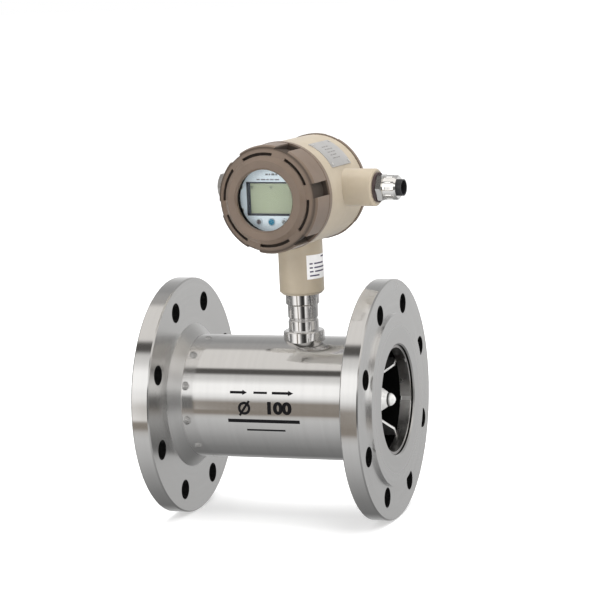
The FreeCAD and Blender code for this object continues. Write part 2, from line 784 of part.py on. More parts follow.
def display_parts():
    """Face plate, liquid crystal module, board, posts, screws, switches and the three buttons."""
    plate_rear = PLATE_FRONT + PLATE_THICK
    board_rear = BOARD_FRONT + BOARD_THICK
    plate = along_y(tube(PLATE_FRONT, plate_rear, PLATE_R))
    cuts = [slab(PLATE_FRONT - REACH, plate_rear + REACH, LCD_WIDE / 2, LCD_HIGH / 2)]
    for place in button_places():
        cuts.append(rod(place, PLATE_FRONT - REACH, plate_rear + REACH, BUTTON_R + SEAT))
    for place in post_places():
        cuts.append(rod(place, PLATE_FRONT - REACH, plate_rear + REACH, SCREW_R + SNUG))
    plate = plate.cut(Part.makeCompound(cuts))

    lcd_front = PLATE_FRONT + LCD_INSET
    lcd = slab(lcd_front, lcd_front + LCD_THICK, LCD_WIDE / 2 - SNUG, LCD_HIGH / 2 - SNUG)
    backlight = slab(lcd_front + LCD_THICK + SNUG, BOARD_FRONT - SNUG, LCD_WIDE / 2 - REACH, LCD_HIGH / 2 - 1)
    board = along_y(tube(BOARD_FRONT, board_rear, PLATE_R))
    board_holes = [rod(p, BOARD_FRONT - REACH, board_rear + REACH, SCREW_R + SNUG) for p in post_places()]
    board = board.cut(Part.makeCompound(board_holes))

    spacers = [rod(p, plate_rear + SNUG, BOARD_FRONT - SNUG, POST_R, SCREW_R + SNUG) for p in post_places()]
    posts = [rod(p, board_rear + SNUG, WALL_FRONT - SNUG, POST_R, SCREW_R + SNUG) for p in post_places()]
    screws = []
    for place in post_places():
        shank = rod(place, PLATE_FRONT - SNUG, board_rear + POST_R * 3, SCREW_R)
        head = rod(place, PLATE_FRONT - SNUG - SCREW_HEAD, PLATE_FRONT - SNUG, SCREW_HEAD_R)
        groove = slab(
            PLATE_FRONT - SCREW_HEAD - REACH, PLATE_FRONT - SCREW_HEAD / 2,
            SCREW_HEAD_R, SCREW_R / 4, place[0], place[1],
        )
        screws.append(shank.fuse(head).cut(groove))

    flange_front = plate_rear + SEAT
    flange_rear = flange_front + BUTTON_FLANGE
    switch_front = flange_rear + BUTTON_TRAVEL + SEAT
    buttons = []
    switches = []
    for place in button_places():
        cap = rod(place, PLATE_FRONT - BUTTON_PROUD, flange_rear, BUTTON_R)
        skirt = rod(place, flange_front, flange_rear, BUTTON_FLANGE_R)
        buttons.append(cap.fuse(skirt).removeSplitter())
        switches.append(slab(switch_front, BOARD_FRONT - SNUG, SWITCH_HALF, SWITCH_HALF, place[0], place[1]))
    return {
        "display_plate": plate,
        "lcd_module": lcd,
        "backlight": backlight,
        "display_board": board,
        "display_spacers": joined(spacers),
        "display_posts": joined(posts),
        "display_screws": joined(screws),
        "button_switches": joined(switches),
        "button_left": buttons[0],
        "button_enter": buttons[1],
        "button_right": buttons[2],
    }


def terminal_parts():
    """Stepped terminal block on the rear of the dividing wall, and its clamp screws."""
    base = WALL_REAR + SNUG
    step = base + TERMINAL_DEEP / 2
    top = base + TERMINAL_DEEP
    half_wide = TERMINAL_WIDE / 2
    half_high = TERMINAL_HIGH / 2
    low = slab(base, step, half_wide, half_high)
    high = slab(step, top, half_wide, half_high - TERMINAL_STEP)
    body = low.fuse(high).removeSplitter()
    pitch = TERMINAL_WIDE / TERMINAL_WAYS
    screws = []
    for i in range(TERMINAL_WAYS):
        place = ((i - (TERMINAL_WAYS - 1) / 2) * pitch, 0.0)
        body = body.cut(rod(place, step, top + REACH, TERMINAL_SCREW_R + SNUG))
        head = rod(place, step + SNUG, top - 1, TERMINAL_SCREW_R)
        groove = slab(top - 2, top, TERMINAL_SCREW_R, TERMINAL_SCREW_R / 6, place[0], place[1])
        screws.append(head.cut(groove))
    return {"terminal_block": body, "terminal_screws": joined(screws)}


# ---------------------------------------------------------------- fittings
def conduit_plug():
    """Hexagon plug that closes the left conduit boss."""
    thread = tube(CONDUIT_REACH - PLUG_THREAD, CONDUIT_REACH + SNUG, CONDUIT_BORE_R - SNUG)
    head = hexagon(CONDUIT_REACH + SNUG, CONDUIT_REACH + PLUG_HEAD, PLUG_HEX_R + REACH, 0.001)
    socket = tube(CONDUIT_REACH + PLUG_HEAD / 2, CONDUIT_REACH + PLUG_HEAD + REACH, PLUG_HEX_R / 3)
    plug = thread.fuse(head).cut(socket)
    return moved(plug.mirror(ORIGIN, X_AXIS), y=CONDUIT_S, z=CONDUIT_UP)


def connector_parts():
    """Round plug-in connector on the right conduit boss."""
    start = CONDUIT_REACH + SNUG
    hex_start = start + WASHER_RING + SNUG
    hex_end = hex_start + HEX_THICK
    sleeve_start = hex_end + SNUG
    sleeve_end = sleeve_start + SLEEVE_LENGTH
    bore = SLEEVE_R - SLEEVE_WALL
    insert_end = sleeve_end + INSERT_PROUD
    washer = tube(start, start + WASHER_RING, WASHER_RING_R, CONDUIT_BORE_R)
    thread = tube(CONDUIT_REACH - PLUG_THREAD, hex_start, CONDUIT_BORE_R - 2 * SNUG, bore + SNUG)
    nut = hexagon(hex_start, hex_end, HEX_R, bore + SNUG).fuse(thread).removeSplitter()
    edge = SLEEVE_FLUTE_R
    sleeve = lathe([
        (sleeve_start, bore + SNUG),
        (sleeve_end, bore + SNUG),
        (sleeve_end, SLEEVE_R - edge),
        (sleeve_end - edge, SLEEVE_R),
        (sleeve_start + edge, SLEEVE_R),
        (sleeve_start, SLEEVE_R - edge),
    ])
    flute = tube(sleeve_start + 2 * edge, sleeve_end - 3 * edge, SLEEVE_FLUTE_R)
    flute.translate(point(0, 0, SLEEVE_R + SLEEVE_FLUTE_R / 3))
    sleeve = sleeve.cut(Part.makeCompound(spun(flute, X_AXIS, steps(SLEEVE_FLUTES))))
    shell = bore - INSERT_WALL
    cavity_floor = insert_end - INSERT_CAVITY
    cavity = tube(cavity_floor, insert_end + REACH, shell)
    insert = tube(CONDUIT_REACH - PLUG_THREAD, insert_end, bore).cut(cavity)
    pin = tube(cavity_floor + SNUG, cavity_floor + PIN_LENGTH, PIN_R)
    pin.translate(point(0, 0, PIN_RING_R))
    pins = spun(pin, X_AXIS, steps(PIN_COUNT, 180.0 / PIN_COUNT))
    made = {
        "connector_washer": washer,
        "connector_nut": nut,
        "connector_sleeve": sleeve,
        "connector_insert": insert,
        "connector_pins": joined(pins),
    }
    return {name: moved(shape, y=CONDUIT_S, z=CONDUIT_UP) for name, shape in made.items()}


def nameplate_parts():
    """Blank curved plate on the drum's upper right side, with a rivet at each corner."""
    inner = DRUM_R + SNUG
    outer = inner + NAMEPLATE_THICK
    ring = tube(NAMEPLATE_FRONT, NAMEPLATE_REAR, outer, inner)
    big = 2 * DRUM_R
    angles = [math.radians(NAMEPLATE_FROM), math.radians(NAMEPLATE_TO)]
    wedge_points = [point(NAMEPLATE_FRONT - REACH, 0, 0)]
    for angle in angles:
        wedge_points.append(point(NAMEPLATE_FRONT - REACH, -big * math.cos(angle), big * math.sin(angle)))
    wedge = Part.Face(Part.makePolygon(wedge_points + wedge_points[:1]))
    wedge = wedge.extrude(point(NAMEPLATE_REAR - NAMEPLATE_FRONT + 2 * REACH, 0, 0))
    plate = ring.common(wedge)
    inset = math.degrees(RIVET_INSET / DRUM_R)
    rivets = []
    for angle in (NAMEPLATE_FROM + inset, NAMEPLATE_TO - inset):
        for along in (NAMEPLATE_FRONT + RIVET_INSET, NAMEPLATE_REAR - RIVET_INSET):
            rivet = along_z(tube(outer + SNUG, outer + RIVET_HEAD, RIVET_R))
            rivet = moved(rivet, x=along)
            rivet.rotate(ORIGIN, X_AXIS, 90.0 - angle)
            rivets.append(rivet)
    return {"nameplate": along_y(plate), "nameplate_rivets": along_y(joined(rivets))}


def neck_screw():
    """Socket set screw that locks the head on the stem."""
    body = tube(PIVOT_R + RUNNING + SNUG, NECK_R - SNUG, SET_SCREW_R)
    socket = tube(NECK_R - SET_SCREW_R, NECK_R + REACH, SET_SCREW_R / 2)
    return moved(along_y(body.cut(socket)), z=SET_SCREW_Z - HEAD_Z)


def main():
    os.makedirs("parts", exist_ok=True)
    rotor_face = STEM_X - ROTOR_HALF - HUB_GAP
    outlet_face = FACE_TO_FACE - (STEM_X + ROTOR_HALF + HUB_GAP)
    inlet_flange = flange()
    ring = retaining_ring()
    pipe_parts = {
        "inlet_flange": inlet_flange,
        "outlet_flange": mirrored(inlet_flange),
        "body_tube": body_tube(),
        "inlet_retaining_ring": ring,
        "outlet_retaining_ring": mirrored(ring),
        "inlet_guide": guide(rotor_face, STEM_X - CHAMBER_HALF),
        "outlet_guide": mirrored(guide(outlet_face, FACE_TO_FACE - STEM_X - CHAMBER_HALF)),
        "inlet_bush": bush(rotor_face),
        "outlet_bush": mirrored(bush(outlet_face)),
        "inlet_thrust_disc": thrust_disc(rotor_face),
        "outlet_thrust_disc": mirrored(thrust_disc(outlet_face)),
        "rotor": rotor(),
        "rotor_shaft": rotor_shaft(),
        "thrust_washers": thrust_washers(),
        "sensor_boss": sensor_boss(),
        "stem": stem(),
        "stem_seal": stem_seal(),
    }
    pipe_parts.update(pickup_parts())
    head_parts = {"housing_body": housing_body(), "neck_set_screw": neck_screw()}
    turned = {"front_cover": front_cover(), "rear_cover": rear_cover()}
    turned.update(window_parts())
    turned.update(cover_seals())
    head_parts.update({name: along_y(shape) for name, shape in turned.items()})
    head_parts.update(display_parts())
    head_parts.update(terminal_parts())
    head_parts["conduit_plug"] = conduit_plug()
    head_parts.update(connector_parts())
    head_parts.update(nameplate_parts())
    for name, shape in pipe_parts.items():
        save(name, shape)
    for name, shape in head_parts.items():
        save(name, on_head(shape))


main()
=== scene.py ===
"""Finishes, printed marks and studio for a flanged turbine flow meter with a display head."""
import json
import logging
import math
from dataclasses import dataclass, field
from enum import Enum
from typing import Callable, Sequence

import bpy
from mathutils import Matrix, Vector


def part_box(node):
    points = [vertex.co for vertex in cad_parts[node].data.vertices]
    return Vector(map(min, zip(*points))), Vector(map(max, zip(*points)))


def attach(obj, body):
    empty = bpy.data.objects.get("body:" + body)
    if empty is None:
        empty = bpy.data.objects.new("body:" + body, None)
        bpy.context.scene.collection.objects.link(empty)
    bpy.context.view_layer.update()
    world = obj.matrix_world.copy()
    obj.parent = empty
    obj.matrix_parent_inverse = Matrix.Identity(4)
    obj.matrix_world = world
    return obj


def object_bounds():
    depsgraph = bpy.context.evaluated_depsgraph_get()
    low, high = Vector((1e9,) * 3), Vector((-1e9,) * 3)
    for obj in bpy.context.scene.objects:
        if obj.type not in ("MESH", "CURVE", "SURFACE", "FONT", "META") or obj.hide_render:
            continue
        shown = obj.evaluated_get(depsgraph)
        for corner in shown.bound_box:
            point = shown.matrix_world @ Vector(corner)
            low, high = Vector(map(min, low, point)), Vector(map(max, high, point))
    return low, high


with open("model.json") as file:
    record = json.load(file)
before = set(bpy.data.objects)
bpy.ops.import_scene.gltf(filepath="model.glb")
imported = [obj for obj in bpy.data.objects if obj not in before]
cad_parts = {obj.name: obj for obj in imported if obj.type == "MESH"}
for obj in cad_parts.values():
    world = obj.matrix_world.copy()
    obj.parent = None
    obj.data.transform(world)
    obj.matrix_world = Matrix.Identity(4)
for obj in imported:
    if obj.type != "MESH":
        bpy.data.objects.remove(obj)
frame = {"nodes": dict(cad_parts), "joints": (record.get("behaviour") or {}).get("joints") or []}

CAD_LOW, CAD_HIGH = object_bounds()
LOG = logging.getLogger("flow_meter")
MM = 0.001
FINE_DEPTH = 0.05 * MM
WHITE = (1.0, 1.0, 1.0, 1.0)
UP = Vector((0.0, 0.0, 1.0))
ALONG = Vector((1.0, 0.0, 0.0))

Colour = tuple[float, float, float]
Span = tuple[float, float]
Levels = tuple[tuple[float, float, float], ...]


class Axis(Enum):
    """The line about which a piece was turned on the lathe."""

    PIPE = "pipe"
    STEM = "stem"
    HEAD = "head"
    CONNECTOR = "connector"


@dataclass(frozen=True)
class Pattern:
    """A noise pattern: its scale, its octaves and the strength of the small ones."""

    scale: float
    detail: float
    rough: float = 0.5


# ------------------------------------------------------------------ shader building
class Graph:
    """A thin wrapper that adds and joins nodes of one node tree."""

    def __init__(self, tree: bpy.types.NodeTree) -> None:
        """Keep the tree.

        Args:
            tree: The node tree that is built.
        """
        self.tree = tree

    def add(self, kind: str, **settings: object) -> bpy.types.Node:
        """Add a node and set its properties.

        Args:
            kind: Blender's node type name.
            settings: Property names and values.

        Returns:
            The new node.
        """
        node = self.tree.nodes.new(kind)
        for name, value in settings.items():
            setattr(node, name, value)
        return node

    def feed(self, node: bpy.types.Node, **values: object) -> bpy.types.Node:
        """Fill inputs of a node with constants or links. Underscores in names stand for spaces.

        Args:
            node: The node that is filled.
            values: Input names with a number, a colour, or an output socket.

        Returns:
            The same node.
        """
        for name, value in values.items():
            key = int(name[1:]) if name[0] == "i" and name[1:].isdigit() else name.replace("_", " ")
            socket = node.inputs[key]
            if isinstance(value, bpy.types.NodeSocket):
                self.tree.links.new(value, socket)
            else:
                socket.default_value = value
        return node

    def math(self, operation: str, *values: object) -> bpy.types.NodeSocket:
        """Add a math node.

        Args:
            operation: Name of the operation.
            values: Numbers or sockets, in order.

        Returns:
            The result socket.
        """
        node = self.add("ShaderNodeMath", operation=operation)
        for i, value in enumerate(values):
            self.feed(node, **{f"i{i}": value})
        return node.outputs[0]

    def product(self, *values: object) -> bpy.types.NodeSocket:
        """Multiply two or more numbers or sockets.

        Args:
            values: Numbers or sockets, in order.

        Returns:
            The product.
        """
        result = values[0]
        for value in values[1:]:
            result = self.math("MULTIPLY", result, value)
        return result

    def weigh(self, first: object, second: object, share: float) -> bpy.types.NodeSocket:
        """Add a share of one value to the rest of another.

        Args:
            first: Value that gets the share.
            second: Value that gets the rest.
            share: Number between 0 and 1.

        Returns:
            The sum.
        """
        return self.math("ADD", self.product(first, share), self.product(second, 1.0 - share))

    def length(self, first: object, second: object) -> bpy.types.NodeSocket:
        """Length of the long side over two sides at right angles."""
        return self.math("SQRT", self.math("ADD", self.product(first, first), self.product(second, second)))

    def noise(self, vector: bpy.types.NodeSocket, pattern: Pattern) -> bpy.types.NodeSocket:
        """Add a noise texture.

        Args:
            vector: Coordinates.
            pattern: Its scale and octaves.

        Returns:
            The value between 0 and 1.
        """
        node = self.add("ShaderNodeTexNoise")
        self.feed(node, Vector=vector, Scale=pattern.scale, Detail=pattern.detail,
                  Roughness=pattern.rough)
        return node.outputs["Fac"]

    def ramp(self, value: bpy.types.NodeSocket,
             stops: Sequence[tuple[float, Colour]]) -> bpy.types.NodeSocket:
        """Map a value to colours.

        Args:
            value: The driving value.
            stops: Position and colour pairs in rising order.

        Returns:
            The colour socket.
        """
        node = self.add("ShaderNodeValToRGB")
        elements = node.color_ramp.elements
        while len(elements) < len(stops):
            elements.new(1.0)
        for element, (place, colour) in zip(elements, stops):
            element.position = place
            element.color = (*colour, 1.0)
        self.feed(node, Fac=value)
        return node.outputs["Color"]

    def spread(self, value: bpy.types.NodeSocket, low: float, high: float) -> bpy.types.NodeSocket:
        """Map 0..1 linearly to low..high.

        Args:
            value: Value between 0 and 1.
            low: Result at 0.
            high: Result at 1.

        Returns:
            The mapped value.
        """
        node = self.add("ShaderNodeMapRange")
        self.feed(node, Value=value, To_Min=low, To_Max=high)
        return node.outputs["Result"]

    def blend(self, factor: object, first: object, second: object) -> bpy.types.NodeSocket:
        """Mix two colours.

        Args:
            factor: Share of the second colour.
            first: First colour or socket.
            second: Second colour or socket.

        Returns:
            The mixed colour.
        """
        node = self.add("ShaderNodeMix", data_type="RGBA")
        self.feed(node, i0=factor, i6=first, i7=second)
        return node.outputs[2]

    def edge(self, value: object, start: float, end: float) -> bpy.types.NodeSocket:
        """Rise softly from 0 at one value to 1 at another.

        Args:
            value: The driving value.
            start: Where the result is 0.
            end: Where the result is 1.

        Returns:
            The share between 0 and 1.
        """
        node = self.add("ShaderNodeMapRange", interpolation_type="SMOOTHSTEP")
        self.feed(node, Value=value, From_Min=start, From_Max=end)
        return node.outputs["Result"]

    def near(self, value: object, place: float, fade: Span) -> bpy.types.NodeSocket:
        """Rise softly from 0 to 1 close to a place.

        Args:
            value: The driving value.
            place: The place.
            fade: How far past the place the result is 0, and how far it is 1.

        Returns:
            The share between 0 and 1.
        """
        return self.edge(value, place + fade[0], place + fade[1])

    def polar(self, vector: bpy.types.NodeSocket) -> tuple[bpy.types.NodeSocket, ...]:
        """Split coordinates into the length along X, the distance from X and the angle about X.

        Args:
            vector: Coordinates.

        Returns:
            Length, distance and angle.
        """
        parts = self.add("ShaderNodeSeparateXYZ")
        self.feed(parts, Vector=vector)
        along, side, high = parts.outputs
        return along, self.length(side, high), self.math("ARCTAN2", side, high)


class Effects:
    """Shared shader groups, each built on first use."""

    FINE_RINGS = Pattern(900.0, 2.0)
    BROAD_RINGS = Pattern(260.0, 3.0)
    SMEARS = Pattern(22.0, 5.0, 0.62)
    SPECKS = Pattern(260.0, 3.0, 0.7)
    SMEAR_SHARE = 0.72
    SMEAR_RANGE = (-0.35, 1.35)
    PEEL = Pattern(900.0, 2.0, 0.45)
    SWELL = Pattern(70.0, 2.0)
    PEEL_SHARE = 0.35
    MOTTLE = Pattern(35.0, 6.0, 0.6)
    SPARK = Pattern(1500.0, 3.0, 0.6)
    CLOUD = Pattern(90.0, 3.0)

    def __init__(self) -> None:
        """Start with no groups."""
        self._made: dict[str, bpy.types.NodeTree] = {}

    def group(self, name: str, outputs: Sequence[str],
              build: Callable[[Graph, bpy.types.Node, bpy.types.Node], None],
              dials: Sequence[tuple[str, float]] = ()) -> bpy.types.NodeTree:
        """Return a group by name and build it the first time.

        Args:
            name: Name of the group, whose first input is coordinates.
            outputs: Names of its results, which are numbers.
            build: Function that fills the group between its input and output nodes.
            dials: Names and default values of its further inputs.

        Returns:
            The node group.
        """
        if name in self._made:
            return self._made[name]
        tree = bpy.data.node_groups.new(name, "ShaderNodeTree")
        tree.interface.new_socket("Vector", in_out="INPUT", socket_type="NodeSocketVector")
        for label, value in dials:
            dial = tree.interface.new_socket(label, in_out="INPUT", socket_type="NodeSocketFloat")
            dial.default_value = value
        for label in outputs:
            tree.interface.new_socket(label, in_out="OUTPUT", socket_type="NodeSocketFloat")
        graph = Graph(tree)
        build(graph, graph.add("NodeGroupInput"), graph.add("NodeGroupOutput"))
        self._made[name] = tree
        return tree

    def turning(self) -> bpy.types.NodeTree:
        """Marks of a lathe tool about X: rings along the axis and round the faces.

        Returns:
            The node group.
        """

        def build(graph: Graph, source: bpy.types.Node, result: bpy.types.Node) -> None:
            """Fill the group.

            Args:
                graph: Nodes of the group.
                source: Its inputs.
                result: Its outputs.
            """
            along, radius, angle = graph.polar(source.outputs["Vector"])
            rings = graph.add("ShaderNodeCombineXYZ")
            graph.feed(rings, X=along, Y=radius, Z=graph.product(angle, source.outputs["Sweep"]))
            fine = graph.noise(rings.outputs[0], self.FINE_RINGS)
            broad = graph.noise(rings.outputs[0], self.BROAD_RINGS)
            graph.feed(result, Height=graph.weigh(fine, broad, 0.5), Tone=broad)

        return self.group("turning marks", ("Height", "Tone"), build, [("Sweep", TurnedSteel.sweep)])

    def handling(self) -> bpy.types.NodeTree:
        """Faint smears and specks left by handling, as a value between 0 and 1.

        Returns:
            The node group.
        """

        def build(graph: Graph, source: bpy.types.Node, result: bpy.types.Node) -> None:
            """Fill the group.

            Args:
                graph: Nodes of the group.
                source: Its inputs.
                result: Its outputs.
            """
            smear = graph.noise(source.outputs["Vector"], self.SMEARS)
            speck = graph.noise(source.outputs["Vector"], self.SPECKS)
            mixed = graph.weigh(smear, speck, self.SMEAR_SHARE)
            graph.feed(result, Smear=graph.spread(mixed, *self.SMEAR_RANGE))

        return self.group("handling", ("Smear",), build)

    def enamel_skin(self) -> bpy.types.NodeTree:
        """Baked enamel over a casting: fine peel, a slow swell and faint mottling.

        Returns:
            The node group.
        """

        def build(graph: Graph, source: bpy.types.Node, result: bpy.types.Node) -> None:
            """Fill the group.

            Args:
                graph: Nodes of the group.
                source: Its inputs.
                result: Its outputs.
            """
            peel = graph.noise(source.outputs["Vector"], self.PEEL)
            swell = graph.noise(source.outputs["Vector"], self.SWELL)
            mottle = graph.noise(source.outputs["Vector"], self.MOTTLE)
            graph.feed(result, Height=graph.weigh(peel, swell, self.PEEL_SHARE), Mottle=mottle)

        return self.group("enamel skin", ("Height", "Mottle"), build)

    def moulding(self) -> bpy.types.NodeTree:
        """Fine spark texture of moulded plastic and rubber.

        Returns:
            The node group.
        """

        def build(graph: Graph, source: bpy.types.Node, result: bpy.types.Node) -> None:
            """Fill the group.

            Args:
                graph: Nodes of the group.
                source: Its inputs.
                result: Its outputs.
            """
            grain = graph.noise(source.outputs["Vector"], self.SPARK)
            cloud = graph.noise(source.outputs["Vector"], self.CLOUD)
            graph.feed(result, Height=grain, Cloud=cloud)

        return self.group("moulding", ("Height", "Cloud"), build)


EFFECTS = Effects()


class Material:
    """One material with object coordinates, a Principled shader and an output."""

    def __init__(self, name: str) -> None:
        """Make the material.

        Args:
            name: Name of the material.
        """
        self.data = bpy.data.materials.new(name)
        self.data.use_nodes = True
        self.data.node_tree.nodes.clear()
        self.graph = Graph(self.data.node_tree)
        self.shader = self.graph.add("ShaderNodeBsdfPrincipled")
        output = self.graph.add("ShaderNodeOutputMaterial")
        self.graph.feed(output, Surface=self.shader.outputs[0])
        self.where = self.graph.add("ShaderNodeTexCoord").outputs["Object"]

    def use(self, tree: bpy.types.NodeTree, vector: bpy.types.NodeSocket | None = None) -> bpy.types.Node:
        """Place a shared group.

        Args:
            tree: The group.
            vector: Coordinates, or None for the object's own.

        Returns:
            The group node.
        """
        node = self.graph.add("ShaderNodeGroup", node_tree=tree)
        return self.graph.feed(node, Vector=vector or self.where)

    def about(self, axis: Axis) -> bpy.types.NodeSocket:
        """Coordinates turned so that the given line is X.

        Args:
            axis: Which line.

        Returns:
            The mapped coordinates.
        """
        origin, turn = PLACES[axis]
        mapping = self.graph.add("ShaderNodeMapping", vector_type="TEXTURE")
        self.graph.feed(mapping, Vector=self.where, Location=origin, Rotation=turn)
        return mapping.outputs[0]

    def smear(self) -> bpy.types.NodeSocket:
        """Share of handling marks, between 0 and 1."""
        return self.use(EFFECTS.handling()).outputs["Smear"]

    def mirrored(self) -> bpy.types.NodeSocket:
        """One for rays that come from a mirroring surface, and else nought."""
        return self.graph.add("ShaderNodeLightPath").outputs["Is Glossy Ray"]

    def bump(self, height: bpy.types.NodeSocket, strength: float, depth: float = FINE_DEPTH) -> None:
        """Feed a height to the shader's normal.

        Args:
            height: Height between 0 and 1.
            strength: Strength of the bump.
            depth: Depth of the marks in metres.
        """
        node = self.graph.add("ShaderNodeBump")
        self.graph.feed(node, Height=height, Strength=strength, Distance=depth)
        self.graph.feed(self.shader, Normal=node.outputs[0])


# ------------------------------------------------------------------ places read from the frame
def middle(node: str) -> Vector:
    """Centre of a node's box."""
    low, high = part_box(node)
    return (low + high) / 2


def joint(name: str) -> dict:
    """The record's entry of a joint."""
    return next(j for j in frame["joints"] if j["name"] == name)


STEM_FOOT = Vector((joint("head_swivel")["pos_m"][0], 0.0, 0.0))
HEAD_CENTRE = Vector(joint("front_cover_turn")["pos_m"])
HEAD_FRONT = Vector(joint("front_cover_turn")["axis"]).normalized()
HEAD_TURN = math.atan2(-HEAD_FRONT.x, -HEAD_FRONT.y)
HEAD_RIGHT = Vector((math.cos(HEAD_TURN), -math.sin(HEAD_TURN), 0.0))
CONNECTOR_CENTRE = middle("connector_sleeve")
PLACES = {
    Axis.PIPE: ((0.0, 0.0, 0.0), (0.0, 0.0, 0.0)),
    Axis.STEM: (tuple(STEM_FOOT), (0.0, -math.pi / 2, 0.0)),
    Axis.HEAD: (tuple(HEAD_CENTRE), (0.0, 0.0, math.pi / 2 - HEAD_TURN)),
    Axis.CONNECTOR: (tuple(CONNECTOR_CENTRE), (0.0, 0.0, -HEAD_TURN)),
}


def reach(node: str, centre: Vector, way: Vector) -> float:
    """Furthest distance of a CAD node from a point along a direction."""
    return max((Vector(v.co) - centre).dot(way) for v in frame["nodes"][node].data.vertices)


def girth(node: str, centre: Vector, axis: Vector) -> float:
    """Largest distance of a CAD node from a line."""
    spans = (Vector(v.co) - centre for v in frame["nodes"][node].data.vertices)
    return max((span - axis * span.dot(axis)).length for span in spans)


# ------------------------------------------------------------------ finishes
def shaded(colour: Colour, share: float) -> tuple[float, float, float, float]:
    """A colour made lighter or darker, with full cover."""
    return (*(min(1.0, channel * share) for channel in colour), 1.0)


@dataclass(frozen=True)
class TurnedSteel:
    """Stainless steel from the lathe, polished to a degree."""

    name: str
    colour: Colour
    dull: float
    marks: float
    axis: Axis = Axis.PIPE
    sweep: float = 0.0008
    tone: Span = (0.93, 1.03)
    wear: Span = (0.94, 1.08)

    def make(self) -> bpy.types.Material:
        """Build the material.

        Returns:
            The material.
        """
        skin = Material(self.name)
        graph = skin.graph
        where = skin.about(self.axis)
        turning = skin.use(EFFECTS.turning(), where)
        turning.inputs["Sweep"].default_value = self.sweep
        base = graph.blend(turning.outputs["Tone"], *(shaded(self.colour, share) for share in self.tone))
        base, dull = self.zones(skin, where, base)
        rough = graph.product(dull, graph.spread(skin.smear(), *self.wear))
        graph.feed(skin.shader, Base_Color=base, Metallic=1.0, Roughness=rough)
        skin.bump(turning.outputs["Height"], self.marks)
        return skin.data

    def zones(self, skin: Material, where: bpy.types.NodeSocket,
              base: bpy.types.NodeSocket) -> tuple[bpy.types.NodeSocket, object]:
        """Vary colour and dullness by place. A plain turned part has one zone.

        Args:
            skin: The material.
            where: Coordinates about the part's axis.
            base: Its colour.

        Returns:
            Colour and dullness.
        """
        return base, self.dull


@dataclass(frozen=True)
class FlangeSteel(TurnedSteel):
    """Flange steel: polished rim and hub, fine-turned faces, painted shade in the drilled holes and bore,
    and a painted reflection that makes the flange paler where other parts mirror it.
    """

    rim_radius: float = 110.0 * MM
    rim_fade: Span = (-0.6 * MM, -0.3 * MM)
    rim_dull: float = 0.1
    hub_radius: float = 63.5 * MM
    hub_fade: Span = (4.0 * MM, 2.0 * MM)
    hub_dull: float = 0.3
    holes: int = 8
    bolt_circle: float = 90.0 * MM
    hole_radius: float = 9.0 * MM
    hole_fade: Span = (0.25 * MM, 0.1 * MM)
    bore_radius: float = 50.0 * MM
    bore_fade: Span = (0.4 * MM, 0.1 * MM)
    # Painted shade: colour share of the holes and bore.
    painted_shade_tone: float = 0.02
    depth_dull: float = 0.3
    painted_reflection_lift: float = 0.85

    def zones(self, skin: Material, where: bpy.types.NodeSocket,
              base: bpy.types.NodeSocket) -> tuple[bpy.types.NodeSocket, object]:
        """Tell rim, faces, holes and bore apart, paint shade into the holes and bore, and paint the steel
        paler where it is seen in a reflection.

        Args:
            skin: The material.
            where: Coordinates about the pipe axis.
            base: Its colour.

        Returns:
            Colour and dullness.
        """
        graph = skin.graph
        away, angle = graph.polar(where)[1:]
        pitch = 2 * math.pi / self.holes
        turned = graph.math("SUBTRACT", graph.math("FLOORED_MODULO", angle, pitch), pitch / 2)
        over = graph.math("SUBTRACT", graph.product(away, graph.math("COSINE", turned)), self.bolt_circle)
        aside = graph.product(away, graph.math("SINE", turned))
        hole = graph.near(graph.length(over, aside), self.hole_radius, self.hole_fade)
        bore = graph.near(away, self.bore_radius, self.bore_fade)
        mirrored = skin.mirrored()
        # Painted shade: the drilled holes and the bore are painted nearly black, except where they are seen
        # in a reflection.
        dark = graph.product(graph.math("MAXIMUM", hole, bore), graph.math("SUBTRACT", 1.0, mirrored))
        # Painted reflection: for glossy rays the colour is lifted towards white, so the flange looks pale
        # where other parts mirror it.
        base = graph.blend(graph.product(mirrored, self.painted_reflection_lift), base, WHITE)
        rim = graph.near(away, self.rim_radius, self.rim_fade)
        hub = graph.near(away, self.hub_radius, self.hub_fade)
        dull: object = self.dull
        for zone, change in ((rim, self.rim_dull - self.dull), (hub, self.hub_dull - self.dull),
                             (dark, self.depth_dull)):
            dull = graph.math("ADD", dull, graph.product(zone, change))
        return graph.blend(dark, base, shaded(self.colour, self.painted_shade_tone)), dull


@dataclass(frozen=True)
class BoredSteel(TurnedSteel):
    """Tube steel: polished outside, dull in the bore, with painted shade that darkens the bore."""

    bore_radius: float = 50.0 * MM
    bore_fade: Span = (3.0 * MM, 2.0 * MM)
    # Painted shade: colour share of the bore.
    painted_shade_tone: float = 0.05
    depth_dull: float = 0.3

    def zones(self, skin: Material, where: bpy.types.NodeSocket,
              base: bpy.types.NodeSocket) -> tuple[bpy.types.NodeSocket, object]:
        """Tell the bore from the outside and paint shade into the bore.

        Args:
            skin: The material.
            where: Coordinates about the pipe axis.
            base: Its colour.

        Returns:
            Colour and dullness.
        """
        graph = skin.graph
        bore = graph.near(graph.polar(where)[1], self.bore_radius, self.bore_fade)
        dull = graph.math("ADD", self.dull, graph.product(bore, self.depth_dull))
        # Painted shade: the bore is painted nearly black.
        return graph.blend(bore, base, shaded(self.colour, self.painted_shade_tone)), dull


